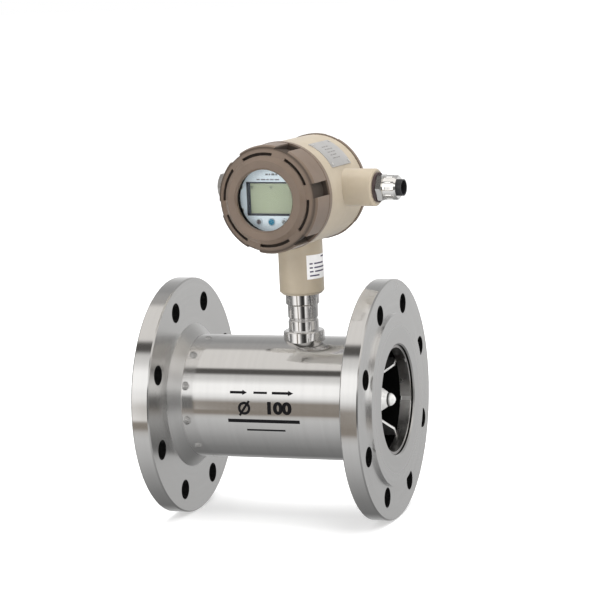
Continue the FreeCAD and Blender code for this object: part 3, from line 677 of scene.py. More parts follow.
@dataclass(frozen=True)
class GuideSteel:
    """Cast guide steel: a painted highlight on the ground edges and nose, which face along the pipe, and
    painted shade on the flanks.
    """

    name: str
    colour: Colour
    dull: float
    metal: float = 0.35
    # Painted shade: colour share of the flanks.
    flank_shade: float = 0.10
    # Range of facing along the pipe over which the painted highlight takes over from the painted shade.
    ground: Span = (0.12, 0.5)
    tone: Span = (0.9, 1.05)
    wear: Span = (0.85, 1.2)
    marks: float = 0.05

    def make(self) -> bpy.types.Material:
        """Build the material.

        Returns:
            The material.
        """
        skin = Material(self.name)
        graph = skin.graph
        turning = skin.use(EFFECTS.turning(), skin.about(Axis.PIPE))
        # Painted highlight and shade: faces that point along the pipe get the bright colour, the flanks the
        # dark one.
        facing = graph.add("ShaderNodeSeparateXYZ")
        graph.feed(facing, Vector=graph.add("ShaderNodeTexCoord").outputs["Normal"])
        ground = graph.edge(graph.math("ABSOLUTE", facing.outputs["X"]), *self.ground)
        bright = graph.blend(turning.outputs["Tone"], *(shaded(self.colour, share) for share in self.tone))
        base = graph.blend(ground, shaded(self.colour, self.flank_shade), bright)
        rough = graph.spread(skin.smear(), *(self.dull * share for share in self.wear))
        graph.feed(skin.shader, Base_Color=base, Metallic=self.metal, Roughness=rough)
        skin.bump(turning.outputs["Height"], self.marks)
        return skin.data


@dataclass(frozen=True)
class Enamel:
    """Baked enamel on die-cast aluminium."""

    name: str
    colour: Colour
    gloss: float
    mottle: float = 0.12
    mottle_range: Span = (-0.3, 1.3)
    wear: Span = (0.85, 1.2)
    peel: float = 0.3
    peel_depth: float = 0.2 * MM
    coat: float = 0.35
    coat_dull: float = 0.25
    slot_dull: float = 0.4
    # Painted reflection: share and colour by which the enamel is painted paler for glossy rays.
    painted_reflection_lift: float = 0.85
    painted_reflection_tone: Colour = (0.72, 0.70, 0.67)

    def make(self) -> bpy.types.Material:
        """Build the material.

        Returns:
            The material.
        """
        skin = Material(self.name)
        graph = skin.graph
        surface = skin.use(EFFECTS.enamel_skin())
        smear = skin.smear()
        base = graph.blend(graph.spread(surface.outputs["Mottle"], *self.mottle_range),
                           shaded(self.colour, 1 - self.mottle), shaded(self.colour, 1 + self.mottle))
        base, slot = self.recesses(skin, base)
        # Painted reflection: glossy rays see the enamel lifted towards a pale grey, so it looks paler where
        # other parts mirror it.
        base = graph.blend(graph.product(skin.mirrored(), self.painted_reflection_lift), base,
                           shaded(self.painted_reflection_tone, 1.0))
        rough = graph.spread(smear, *(self.gloss * share for share in self.wear))
        coat = self.coat
        if slot:
            rough = graph.math("ADD", rough, graph.product(slot, self.slot_dull))
            coat = graph.spread(slot, self.coat, 0.0)
        graph.feed(skin.shader, Base_Color=base, Roughness=rough, IOR=1.5, Coat_Weight=coat,
                   Coat_Roughness=self.coat_dull)
        skin.bump(surface.outputs["Height"], self.peel, self.peel_depth)
        return skin.data

    def recesses(self, skin: Material,
                 base: bpy.types.NodeSocket) -> tuple[bpy.types.NodeSocket, bpy.types.NodeSocket | None]:
        """Paint shade into recesses. A plain casting has none.

        Args:
            skin: The material.
            base: Its colour.

        Returns:
            The colour, and the share that lies in a recess.
        """
        return base, None


@dataclass(frozen=True)
class CoverEnamel(Enamel):
    """Cover enamel with a painted highlight on the pads' outer faces and painted shade on the floors and
    walls of the grip slots.
    """

    pad_radius: float = 50.0 * MM
    slot_start: float = -50.0 * MM
    slot_length: float = 2.0 * MM
    slot_fade: Span = (-0.9 * MM, -2.6 * MM)
    # Painted shade: colour share of the grip slots.
    slot_shade_tone: float = 0.30
    # Painted highlight: fade, share and colour of the lighter outer faces of the pads.
    pad_highlight_fade: Span = (-1.2 * MM, 0.2 * MM)
    pad_highlight_share: float = 0.35
    pad_highlight_tone: float = 1.45

    def recesses(self, skin: Material,
                 base: bpy.types.NodeSocket) -> tuple[bpy.types.NodeSocket, bpy.types.NodeSocket | None]:
        """Paint a highlight on the pads' outer faces and paint shade on the floors and walls of the grip
        slots.

        Args:
            skin: The material.
            base: Its colour.

        Returns:
            The colour, and the share that lies in a slot.
        """
        graph = skin.graph
        along, away = graph.polar(skin.about(Axis.HEAD))[:2]
        deep = graph.near(away, self.pad_radius, self.slot_fade)
        behind = graph.edge(along, self.slot_start, self.slot_start + self.slot_length)
        # Painted highlight: the pads' outer faces are lighter.
        pad_highlight = graph.near(away, self.pad_radius, self.pad_highlight_fade)
        base = graph.blend(graph.product(pad_highlight, self.pad_highlight_share), base, shaded(self.colour, self.pad_highlight_tone))
        # Painted shade: the floors and walls of the grip slots are darker.
        slot = graph.product(deep, behind)
        return graph.blend(slot, base, shaded(self.colour, self.slot_shade_tone)), slot


@dataclass(frozen=True)
class Moulded:
    """Moulded plastic, rubber or printed film."""

    name: str
    colour: Colour
    dull: float
    grain: float = 0.15
    glow: float = 0.0
    shine: float = 1.5
    tone: Span = (0.9, 1.04)
    wear: Span = (0.9, 1.15)

    def make(self) -> bpy.types.Material:
        """Build the material.

        Returns:
            The material.
        """
        skin = Material(self.name)
        graph = skin.graph
        surface = skin.use(EFFECTS.moulding())
        base = graph.blend(surface.outputs["Cloud"], *(shaded(self.colour, share) for share in self.tone))
        base = self.spots(skin, base)
        rough = graph.spread(surface.outputs["Cloud"], *(min(1.0, self.dull * share) for share in self.wear))
        graph.feed(skin.shader, Base_Color=base, Roughness=rough, IOR=self.shine)
        if self.glow:
            graph.feed(skin.shader, Emission_Color=shaded(self.colour, 1.0), Emission_Strength=self.glow)
        skin.bump(surface.outputs["Height"], self.grain)
        return skin.data

    def spots(self, skin: Material, base: bpy.types.NodeSocket) -> bpy.types.NodeSocket:
        """Add printed spots. Plain mouldings have none.

        Args:
            skin: The material.
            base: Its colour.

        Returns:
            The colour.
        """
        return base


@dataclass(frozen=True)
class KeyCap(Moulded):
    """A key whose colour fades into the film round it."""

    centre: tuple[float, float, float] = (0.0, 0.0, 0.0)
    film: Colour = (0.70, 0.77, 0.84)
    fade: Span = (1.5 * MM, 3.0 * MM)

    def spots(self, skin: Material, base: bpy.types.NodeSocket) -> bpy.types.NodeSocket:
        """Fade from the key's colour to the film's.

        Args:
            skin: The material.
            base: The key's colour.

        Returns:
            The colour.
        """
        apart = skin.graph.add("ShaderNodeVectorMath", operation="DISTANCE")
        skin.graph.feed(apart, i0=skin.where, i1=self.centre)
        film = skin.graph.edge(apart.outputs["Value"], *self.fade)
        return skin.graph.blend(film, base, shaded(self.film, 1.0))


@dataclass(frozen=True)
class Plated:
    """Bright plated, satin or turned soft metal."""

    name: str
    colour: Colour
    dull: float
    metal: float = 1.0
    blotch: float = 0.1
    wear: Span = (0.7, 1.4)
    grain: Pattern = Pattern(700.0, 2.0)
    marks: float = 0.06

    def make(self) -> bpy.types.Material:
        """Build the material.

        Returns:
            The material.
        """
        skin = Material(self.name)
        smear = skin.smear()
        base = skin.graph.blend(smear, shaded(self.colour, 1 - self.blotch), shaded(self.colour, 1.0))
        rough = skin.graph.spread(smear, *(self.dull * share for share in self.wear))
        skin.graph.feed(skin.shader, Base_Color=base, Metallic=self.metal, Roughness=rough)
        skin.bump(skin.graph.noise(skin.where, self.grain), self.marks)
        return skin.data


@dataclass(frozen=True)
class ClearGlass:
    """Toughened glass of the window, bloomed so that it mirrors little."""

    name: str
    colour: Colour = (0.97, 0.99, 0.98)
    bend: float = 1.15
    wear: Span = (0.0, 0.03)

    def make(self) -> bpy.types.Material:
        """Build the material.

        Returns:
            The material.
        """
        skin = Material(self.name)
        rough = skin.graph.spread(skin.smear(), *self.wear)
        skin.graph.feed(skin.shader, Base_Color=shaded(self.colour, 1.0), Metallic=0.0, Roughness=rough,
                        IOR=self.bend, Transmission_Weight=1.0)
        return skin.data


def dress_all(nodes: Sequence[str], finish: bpy.types.Material) -> None:
    """Give CAD nodes one material.

    Args:
        nodes: Names of the nodes.
        finish: The material.
    """
    for node in nodes:
        materials = frame["nodes"][node].data.materials
        materials.clear()
        materials.append(finish)
    LOG.info("dressed %s with %s", ", ".join(nodes), finish.name)


# ------------------------------------------------------------------ hand tools
SEAM = 0.002 * MM
BEAD_SIDES = 12
RING_STEPS = 144
FIGURE_HEIGHT = 0.72


def deselect() -> None:
    """Leave object mode's selection empty."""
    bpy.ops.object.select_all(action="DESELECT")


def pick(piece: bpy.types.Object) -> None:
    """Make one piece the only selected and active one.

    Args:
        piece: The piece.
    """
    deselect()
    piece.select_set(True)
    bpy.context.view_layer.objects.active = piece


def place_mesh(piece: bpy.types.Object, place: Matrix) -> None:
    """Put a fresh piece at a place and write the place into its mesh.

    Args:
        piece: The piece.
        place: Where it goes.
    """
    piece.matrix_world = place
    bpy.context.view_layer.update()
    piece.data.transform(piece.matrix_world)
    piece.matrix_world = Matrix.Identity(4)


def apply_modifiers(piece: bpy.types.Object) -> None:
    """Apply every modifier of a piece in its order.

    Args:
        piece: The piece.
    """
    pick(piece)
    for modifier in list(piece.modifiers):
        bpy.ops.object.modifier_apply(modifier=modifier.name)


def settle(piece: bpy.types.Object, name: str, body: str,
           finish: bpy.types.Material) -> bpy.types.Object:
    """Name a finished piece, put its place into its mesh, dress it and let it ride.

    Args:
        piece: The piece.
        name: Its name.
        body: Body that carries it.
        finish: Its material.

    Returns:
        The piece.
    """
    pick(piece)
    bpy.ops.object.transform_apply(location=True, rotation=True, scale=True)
    piece.name = name
    piece.data.name = name
    piece.data.materials.clear()
    piece.data.materials.append(finish)
    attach(piece, body)
    LOG.info("made %s on %s", name, body)
    return piece


def joined(pieces: Sequence[bpy.types.Object]) -> bpy.types.Object:
    """Join mesh pieces into one.

    Args:
        pieces: The pieces, the first of which stays.

    Returns:
        The joined piece.
    """
    deselect()
    for piece in pieces:
        piece.select_set(True)
    bpy.context.view_layer.objects.active = pieces[0]
    if len(pieces) > 1:
        bpy.ops.object.join()
    return pieces[0]


def face_place(origin: Vector, right: Vector, up: Vector) -> Matrix:
    """Matrix of a plane of work.

    Args:
        origin: Its centre.
        right: Direction of its first axis.
        up: Direction of its second axis.

    Returns:
        A matrix whose third axis points out of the plane.
    """
    out = right.cross(up).normalized()
    turn = Matrix((right.normalized(), up.normalized(), out)).transposed().to_4x4()
    return Matrix.Translation(origin) @ turn


def swept(piece: bpy.types.Object, centre: Vector, axis: Vector, angle: float,
          steps: int) -> bpy.types.Object:
    """Spin a flat profile about a line into a closed solid.

    Args:
        piece: The profile.
        centre: A point of the line.
        axis: Direction of the line.
        angle: Sweep in radians, to the right about the axis.
        steps: Number of steps.

    Returns:
        The solid.
    """
    pick(piece)
    bpy.ops.object.mode_set(mode="EDIT")
    bpy.ops.mesh.select_all(action="SELECT")
    bpy.ops.mesh.spin(steps=steps, angle=-angle, center=centre, axis=axis)
    bpy.ops.mesh.select_all(action="SELECT")
    bpy.ops.mesh.remove_doubles(threshold=SEAM)
    bpy.ops.mesh.normals_make_consistent(inside=False)
    bpy.ops.object.mode_set(mode="OBJECT")
    return piece


def wire_ring(centre: Vector, axis: Vector, radius: float, wire: float) -> bpy.types.Object:
    """A round bead swept about a line.

    Args:
        centre: Centre of the ring.
        axis: Axis of the ring.
        radius: Radius of the ring.
        wire: Radius of the bead.

    Returns:
        The bead.
    """
    side = axis.orthogonal().normalized()
    deselect()
    bpy.ops.mesh.primitive_circle_add(vertices=BEAD_SIDES, radius=wire)
    bead = bpy.context.object
    place_mesh(bead, face_place(centre + side * radius, axis, side))
    swept(bead, centre, axis, 2 * math.pi, RING_STEPS)
    bpy.ops.object.shade_smooth()
    return bead


@dataclass
class PrintBed:
    """A plane of work from which flat marks are laid on a surface behind it."""

    place: Matrix
    target: str | None = None
    lift: float = 0.06 * MM
    film: float = 0.05 * MM
    made: list[bpy.types.Object] = field(default_factory=list)

    def lay(self, mark: bpy.types.Object, right: float, up: float, wide: float = 1.0,
            high: float = 1.0, turn: float = 0.0) -> None:
        """Size a flat mark, put it on the plane of work and lay it on the target.

        Args:
            mark: The mark.
            right: Its centre along the first axis, metres.
            up: Its centre along the second axis.
            wide: Scale along the first axis.
            high: Scale along the second axis.
            turn: Turn on the plane, radians.
        """
        place_mesh(mark, Matrix.Translation((right, up, 0.0)) @ Matrix.Rotation(turn, 4, "Z")
                   @ Matrix.Diagonal((wide, high, 1.0, 1.0)))
        mark.matrix_world = self.place
        if self.target:
            wrap = mark.modifiers.new("lay", "SHRINKWRAP")
            wrap.target = frame["nodes"][self.target]
            wrap.wrap_method = "PROJECT"
            wrap.wrap_mode = "ABOVE_SURFACE"
            wrap.use_project_z = True
            wrap.use_positive_direction = True
            wrap.use_negative_direction = True
            wrap.offset = self.lift
        wall = mark.modifiers.new("film", "SOLIDIFY")
        wall.thickness = self.film
        wall.offset = 1.0
        apply_modifiers(mark)
        self.made.append(mark)

    def bar(self, right: float, up: float, wide: float, high: float, cuts: int = 12,
            turn: float = 0.0) -> None:
        """Lay a rectangle.

        Args:
            right: Its centre along the first axis, metres.
            up: Its centre along the second axis.
            wide: Its width.
            high: Its height.
            cuts: Divisions across, so that it follows a curve.
            turn: Turn on the plane, radians.
        """
        deselect()
        rows = max(2, round(cuts * high / wide))
        bpy.ops.mesh.primitive_grid_add(x_subdivisions=cuts, y_subdivisions=rows, size=1.0)
        self.lay(bpy.context.object, right, up, wide, high, turn)

    def row(self, right: float, up: float, lengths: Sequence[float], high: float, gap: float) -> None:
        """Lay a row of short dashes.

        Args:
            right: Left end of the row.
            up: Its centre along the second axis.
            lengths: Length of each dash, millimetres.
            high: Height of the dashes.
            gap: Space between two dashes.
        """
        for length in lengths:
            self.bar(right + length * MM / 2, up, length * MM, high, 4)
            right += length * MM + gap

    def ring(self, right: float, up: float, radius: float, inner: float) -> None:
        """Lay a ring.

        Args:
            right: Its centre along the first axis.
            up: Its centre along the second axis.
            radius: Its outer radius.
            inner: Its inner radius.
        """
        deselect()
        bpy.ops.mesh.primitive_circle_add(vertices=48, radius=radius, fill_type="NGON")
        mark = bpy.context.object
        bpy.ops.object.mode_set(mode="EDIT")
        bpy.ops.mesh.select_all(action="SELECT")
        bpy.ops.mesh.inset(thickness=radius - inner, depth=0.0)
        bpy.ops.mesh.delete(type="FACE")
        bpy.ops.object.mode_set(mode="OBJECT")
        self.lay(mark, right, up)

    def arrow(self, right: float, up: float, length: float, high: float, head: float) -> None:
        """Lay an arrow that points to the right.

        Args:
            right: Its centre along the first axis.
            up: Its centre along the second axis.
            length: Its whole length.
            high: Height of its head.
            head: Length of its head.
        """
        self.bar(right - head / 2, up, length - head, high * 0.5, 8)
        deselect()
        bpy.ops.mesh.primitive_circle_add(vertices=3, radius=1.0, fill_type="NGON")
        tip = bpy.context.object
        bpy.ops.object.mode_set(mode="EDIT")
        bpy.ops.mesh.select_all(action="SELECT")
        bpy.ops.mesh.subdivide(number_cuts=2)
        bpy.ops.object.mode_set(mode="OBJECT")
        tip.data.transform(Matrix.Rotation(-math.pi / 2, 4, "Z"))
        self.lay(tip, right + length / 2 - head * 2 / 3, up, head / 1.5, high / math.sqrt(3))

    def number(self, figures: str, right: float, up: float, high: float, stretch: float,
               bold: float) -> None:
        """Lay figures centred at a place.

        Args:
            figures: The figures.
            right: Centre along the first axis.
            up: Centre along the second axis.
            high: Height of the figures.
            stretch: Width factor.
            bold: Growth of the strokes, metres.
        """
        deselect()
        bpy.ops.object.text_add()
        text = bpy.context.object
        text.data.body = figures
        text.data.align_x = "CENTER"
        text.data.align_y = "CENTER"
        text.data.size = high / FIGURE_HEIGHT
        text.data.offset = bold
        text.data.resolution_u = 6
        bpy.ops.object.convert(target="MESH")
        mark = bpy.context.object
        bpy.ops.object.mode_set(mode="EDIT")
        bpy.ops.mesh.select_all(action="SELECT")
        bpy.ops.mesh.remove_doubles(threshold=5 * SEAM)
        cuts = 8
        for share in (i / cuts - 0.5 for i in range(1, cuts)):
            for place, way in (((0.0, 1.6 * high * share, 0.0), (0.0, 1.0, 0.0)),
                               ((len(figures) * high * share, 0.0, 0.0), (1.0, 0.0, 0.0))):
                bpy.ops.mesh.select_all(action="SELECT")
                bpy.ops.mesh.bisect(plane_co=place, plane_no=way)
        bpy.ops.object.mode_set(mode="OBJECT")
        self.lay(mark, right, up, stretch, 1.0)

    def finish(self, name: str, body: str, slot: str, ink: bpy.types.Material) -> bpy.types.Object:
        """Join the marks laid so far into one piece.

        Args:
            name: Its name.
            body: Body that carries it.
            slot: Not used.
            ink: Its material.

        Returns:
            The piece.
        """
        return settle(joined(self.made), name, body, ink)


# ------------------------------------------------------------------ sub-assemblies
@dataclass
class PipeSection:
    """Flanges and meter tube: turned steel, weld beads and the printed size mark.

    Places on the tube are measured from the mark's centre, to the right and up.
    """

    flange: FlangeSteel = FlangeSteel("turned flange steel", (0.62, 0.615, 0.605), dull=0.26, marks=0.02)
    tube: BoredSteel = BoredSteel("polished tube steel", (0.62, 0.615, 0.605), dull=0.085, marks=0.04)
    weld: Plated = Plated("weld steel", (0.56, 0.55, 0.54), dull=0.2)
    ink: Moulded = Moulded("black ink", (0.008, 0.008, 0.009), dull=0.6, grain=0.05, shine=1.15)
    bead_wire: float = 0.9 * MM
    bead_sink: float = 0.65 * MM
    mark_centre: float = 110.5 * MM
    mark_gap: float = 2.0 * MM
    arrow_row: float = 14.8 * MM
    arrow_high: float = 4.6 * MM
    first_arrow: tuple[float, float, float] = (-24.5 * MM, 16.5 * MM, 4.5 * MM)
    second_arrow: tuple[float, float, float] = (18.0 * MM, 20.5 * MM, 5.0 * MM)
    arrow_dash: tuple[float, float, float] = (-3.5 * MM, 13.0 * MM, 2.0 * MM)
    size_row: float = 0.6 * MM
    size_place: float = 13.5 * MM
    size_high: float = 10.5 * MM
    size_stretch: float = 1.16
    size_bold: float = 0.8 * MM
    sign_place: float = -19.0 * MM
    sign_radii: Span = (6.0 * MM, 3.6 * MM)
    stroke: Span = (16.5 * MM, 2.1 * MM)
    stroke_turn: float = 55.0
    first_rule: tuple[float, float, float, float] = (-1.0 * MM, -11.2 * MM, 69.0 * MM, 3.2 * MM)
    second_rule: tuple[float, float, float, float] = (0.0, -20.0 * MM, 37.0 * MM, 1.6 * MM)

    def build(self) -> None:
        """Dress the nodes and make the beads and marks."""
        dress_all(["inlet_flange", "outlet_flange"], self.flange.make())
        dress_all(["body_tube"], self.tube.make())
        self.beads(self.weld.make())
        self.marks(self.ink.make())

    def beads(self, finish: bpy.types.Material) -> None:
        """Polished weld beads where the necks meet the tube.

        Args:
            finish: Their material.
        """
        low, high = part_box("body_tube")
        for name, place in (("inlet_weld", low.x), ("outlet_weld", high.x)):
            bead = wire_ring(ALONG * place, ALONG, high.y - self.bead_sink, self.bead_wire)
            settle(bead, name, "pipe", finish)

    def marks(self, ink: bpy.types.Material) -> None:
        """Flow arrows, the nominal size and two rules, printed on the front of the tube.

        Args:
            ink: Material of the marks.
        """
        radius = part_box("body_tube")[1].y
        origin = Vector((self.mark_centre, -radius - self.mark_gap, 0.0))
        bed = PrintBed(face_place(origin, ALONG, UP), "body_tube")
        for place, length, head in (self.first_arrow, self.second_arrow):
            bed.arrow(place, self.arrow_row, length, self.arrow_high, head)
        place, wide, high = self.arrow_dash
        bed.bar(place, self.arrow_row, wide, high)
        bed.number("100", self.size_place, self.size_row, self.size_high, self.size_stretch, self.size_bold)
        bed.ring(self.sign_place, self.size_row, *self.sign_radii)
        bed.bar(self.sign_place, self.size_row, *self.stroke, cuts=10, turn=math.radians(self.stroke_turn))
        bed.bar(*self.first_rule, cuts=40)
        bed.bar(*self.second_rule, cuts=24)
        bed.finish("size_mark", "pipe", "black_plastic", ink)


@dataclass
class FlowGuides:
    """The vaned guides, their spring rings, bushes and thrust discs."""

    guide: GuideSteel = GuideSteel("guide steel painted lit and shaded", (0.88, 0.875, 0.86), dull=0.25)
    spring: TurnedSteel = TurnedSteel("spring steel", (0.42, 0.41, 0.40), dull=0.28, marks=0.1)
    hard: TurnedSteel = TurnedSteel("ground hard metal", (0.24, 0.24, 0.25), dull=0.18, marks=0.05)

    def build(self) -> None:
        """Dress the nodes."""
        dress_all(["inlet_guide", "outlet_guide"], self.guide.make())
        dress_all(["inlet_retaining_ring", "outlet_retaining_ring"], self.spring.make())
        hard_pieces = ["inlet_bush", "outlet_bush", "inlet_thrust_disc", "outlet_thrust_disc"]
        dress_all(hard_pieces, self.hard.make())


@dataclass
class RotorSet:
    """Rotor, shaft and thrust washers."""

    blade: TurnedSteel = TurnedSteel("milled rotor steel", (0.46, 0.46, 0.47), dull=0.26, marks=0.1,
                                     sweep=0.004)
    shaft: TurnedSteel = TurnedSteel("ground shaft metal", (0.26, 0.26, 0.27), dull=0.12, marks=0.05)

    def build(self) -> None:
        """Dress the nodes."""
        dress_all(["rotor"], self.blade.make())
        dress_all(["rotor_shaft", "thrust_washers"], self.shaft.make())


@dataclass
class PickupStem:
    """Boss, stem and pick-up between the tube and the head."""

    bright: TurnedSteel = TurnedSteel("polished stem steel", (0.62, 0.61, 0.60), dull=0.06, marks=0.03,
                                      axis=Axis.STEM)
    resin: Moulded = Moulded("cast resin", (0.02, 0.02, 0.022), dull=0.45)
    magnet: TurnedSteel = TurnedSteel("magnet steel", (0.3, 0.3, 0.3), dull=0.3, marks=0.1, axis=Axis.STEM)
    rubber: Moulded = Moulded("stem seal rubber", (0.015, 0.015, 0.015), dull=0.6)
    thread_radius: float = 12.8 * MM
    thread_start: float = 0.75 * MM
    thread_pitch: float = 1.5 * MM
    thread_turns: int = 2
    ridge_wire: float = 0.45 * MM

    def build(self) -> None:
        """Dress the nodes and make the thread."""
        bright = self.bright.make()
        dress_all(["sensor_boss", "stem", "pickup_lock_nut"], bright)
        dress_all(["pickup_coil", "pickup_plug"], self.resin.make())
        dress_all(["pickup_core"], self.magnet.make())
        dress_all(["stem_seal"], self.rubber.make())
        self.thread(bright)

    def thread(self, finish: bpy.types.Material) -> None:
        """The last turns of the stem's thread, which show in the relief above the boss.

        Args:
            finish: Its material.
        """
        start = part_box("sensor_boss")[1].z + self.thread_start
        rings = [wire_ring(STEM_FOOT + UP * (start + i * self.thread_pitch), UP, self.thread_radius,
                           self.ridge_wire) for i in range(self.thread_turns)]
        settle(joined(rings), "stem_thread", "pipe", finish)


@dataclass
class HeadHousing:
    """Cast housing with its neck label, nameplate and set screw.

    Each rule of the label has its height, left end and width as shares of the label.
    """

    enamel: Enamel = Enamel("beige enamel", (0.392, 0.331, 0.245), gloss=0.40)
    plate: Plated = Plated("satin plate", (0.52, 0.51, 0.50), dull=0.45, metal=0.45, blotch=0.35)
    rivet: Plated = Plated("rivet metal", (0.62, 0.61, 0.59), dull=0.35, metal=0.6)
    black: Plated = Plated("blackened steel", (0.06, 0.055, 0.05), dull=0.4)
    etching: Moulded = Moulded("etched grey", (0.20, 0.19, 0.18), dull=0.6, grain=0.03)
    paper: Moulded = Moulded("label film", (0.86, 0.85, 0.85), dull=0.4, grain=0.03)
    ink: Moulded = Moulded("label ink", (0.07, 0.06, 0.11), dull=0.6, grain=0.03, shine=1.2)
    neck_radius: float = 20.5 * MM
    label_gap: float = 0.02 * MM
    label_start: float = 34.0
    label_sweep: float = 76.0
    label_low: float = 112.5 * MM
    label_high: float = 134.5 * MM
    label_film: float = 0.12 * MM
    sheet_step: float = 3.0
    rule_high: float = 1.3 * MM
    rule_film: float = 0.03 * MM
    rules: tuple[tuple[float, float, float], ...] = (
        (0.90, 0.62, 0.30), (0.64, 0.10, 0.12), (0.64, 0.28, 0.50), (0.47, 0.10, 0.12), (0.47, 0.28, 0.60),
        (0.31, 0.10, 0.14), (0.31, 0.30, 0.52), (0.14, 0.10, 0.40),
    )
    plate_rows: tuple[tuple[float, ...], ...] = (
        (7.0, 4.0), (3.0, 6.0, 4.0), (5.0, 3.0, 5.0), (4.0, 7.0), (6.0, 3.0, 3.0),
    )
    plate_gap: float = 5.0 * MM
    plate_left: float = -8.0 * MM
    plate_pitch: float = 3.6 * MM
    dash_high: float = 1.0 * MM
    dash_gap: float = 1.2 * MM
    dash_film: float = 0.02 * MM

    def build(self) -> None:
        """Dress the nodes and make the label."""
        dress_all(["housing_body"], self.enamel.make())
        dress_all(["nameplate"], self.plate.make())
        dress_all(["nameplate_rivets"], self.rivet.make())
        dress_all(["neck_set_screw"], self.black.make())
        self.plate_print(self.etching.make())
        self.label(self.paper.make(), self.ink.make())

    def plate_print(self, ink: bpy.types.Material) -> None:
        """Rows of plain dashes etched into the nameplate.

        Args:
            ink: Material of the marks.
        """
        centre = middle("nameplate")
        out = centre - HEAD_CENTRE
        out = (out - HEAD_FRONT * out.dot(HEAD_FRONT)).normalized()
        across = -HEAD_FRONT
        place = face_place(centre + out * self.plate_gap, across, out.cross(across))
        bed = PrintBed(place, "nameplate", self.dash_film, self.dash_film)
        top = (len(self.plate_rows) - 1) * self.plate_pitch / 2
        for i, row in enumerate(self.plate_rows):
            bed.row(self.plate_left, top - i * self.plate_pitch, row, self.dash_high, self.dash_gap)
        bed.finish("nameplate_print", "head", "black_plastic", ink)

    def label(self, paper: bpy.types.Material, ink: bpy.types.Material) -> None:
        """White label on the right of the neck, with plain printed rules.

        Args:
            paper: Material of the label.
            ink: Material of its print.
        """
        inner = self.neck_radius + self.label_gap
        sheet = self.wrapped(inner, self.label_start, self.label_sweep, self.label_low, self.label_high,
                             self.label_film)
        settle(sheet, "neck_label", "head", paper)
        marks = []
        for share, start, wide in self.rules:
            low = self.label_low + (self.label_high - self.label_low) * share - self.rule_high / 2
            marks.append(self.wrapped(inner + self.label_film, self.label_start + self.label_sweep * start,
                                      self.label_sweep * wide, low, low + self.rule_high, self.rule_film))
        settle(joined(marks), "neck_label_rules", "head", ink)

    def wrapped(self, radius: float, start: float, sweep: float, low: float, high: float,
                film: float) -> bpy.types.Object:
        """A thin closed sheet swept round the neck.

        Args:
            radius: Radius of its inner face.
            start: Angle of its left edge, degrees to the right of the front.
            sweep: Its width in degrees.
            low: Height of its lower edge.
            high: Height of its upper edge.
            film: Its thickness.

        Returns:
            The sheet.
        """
        turn = math.radians(start)
        outward = Vector((math.sin(turn), -math.cos(turn), 0.0))
        line = STEM_FOOT + UP * (low + high) / 2
        deselect()
        bpy.ops.mesh.primitive_plane_add(size=1.0)
        sheet = bpy.context.object
        place = face_place(line + outward * (radius + film / 2), outward, UP)
        place_mesh(sheet, place @ Matrix.Diagonal((film, high - low, 1.0, 1.0)))
        return swept(sheet, line, UP, math.radians(sweep), max(3, round(sweep / self.sheet_step)))


@dataclass
class Covers:
    """Front and rear screw covers with seals, window and keeper."""

    brown: Colour = (0.130, 0.091, 0.064)
    gloss: float = 0.38
    mottle: float = 0.16
    front_bevel: float = 5.0 * MM
    rubber: Moulded = Moulded("seal rubber", (0.014, 0.014, 0.014), dull=0.6)
    glass: ClearGlass = ClearGlass("window glass")
    black: Plated = Plated("blackened keeper", (0.03, 0.028, 0.026), dull=0.45)

    def build(self) -> None:
        """Dress the nodes."""
        self.cover("front_cover", "brown enamel", self.front_bevel)
        self.cover("rear_cover", "rear cover enamel", 0.0)
        dress_all(["front_seal", "rear_seal", "window_gasket"], self.rubber.make())
        dress_all(["window_glass"], self.glass.make())
        dress_all(["window_keeper"], self.black.make())

    def cover(self, node: str, name: str, bevel: float) -> None:
        """Dress a cover with enamel that knows its grip slots.

        Args:
            node: The cover's node.
            name: Name of the finish.
            bevel: Length of the cover ahead of its slots.
        """
        pad = girth(node, HEAD_CENTRE, HEAD_FRONT)
        start = bevel - reach(node, HEAD_CENTRE, HEAD_FRONT)
        finish = CoverEnamel(name, self.brown, self.gloss, self.mottle, pad_radius=pad, slot_start=start)
        dress_all([node], finish.make())


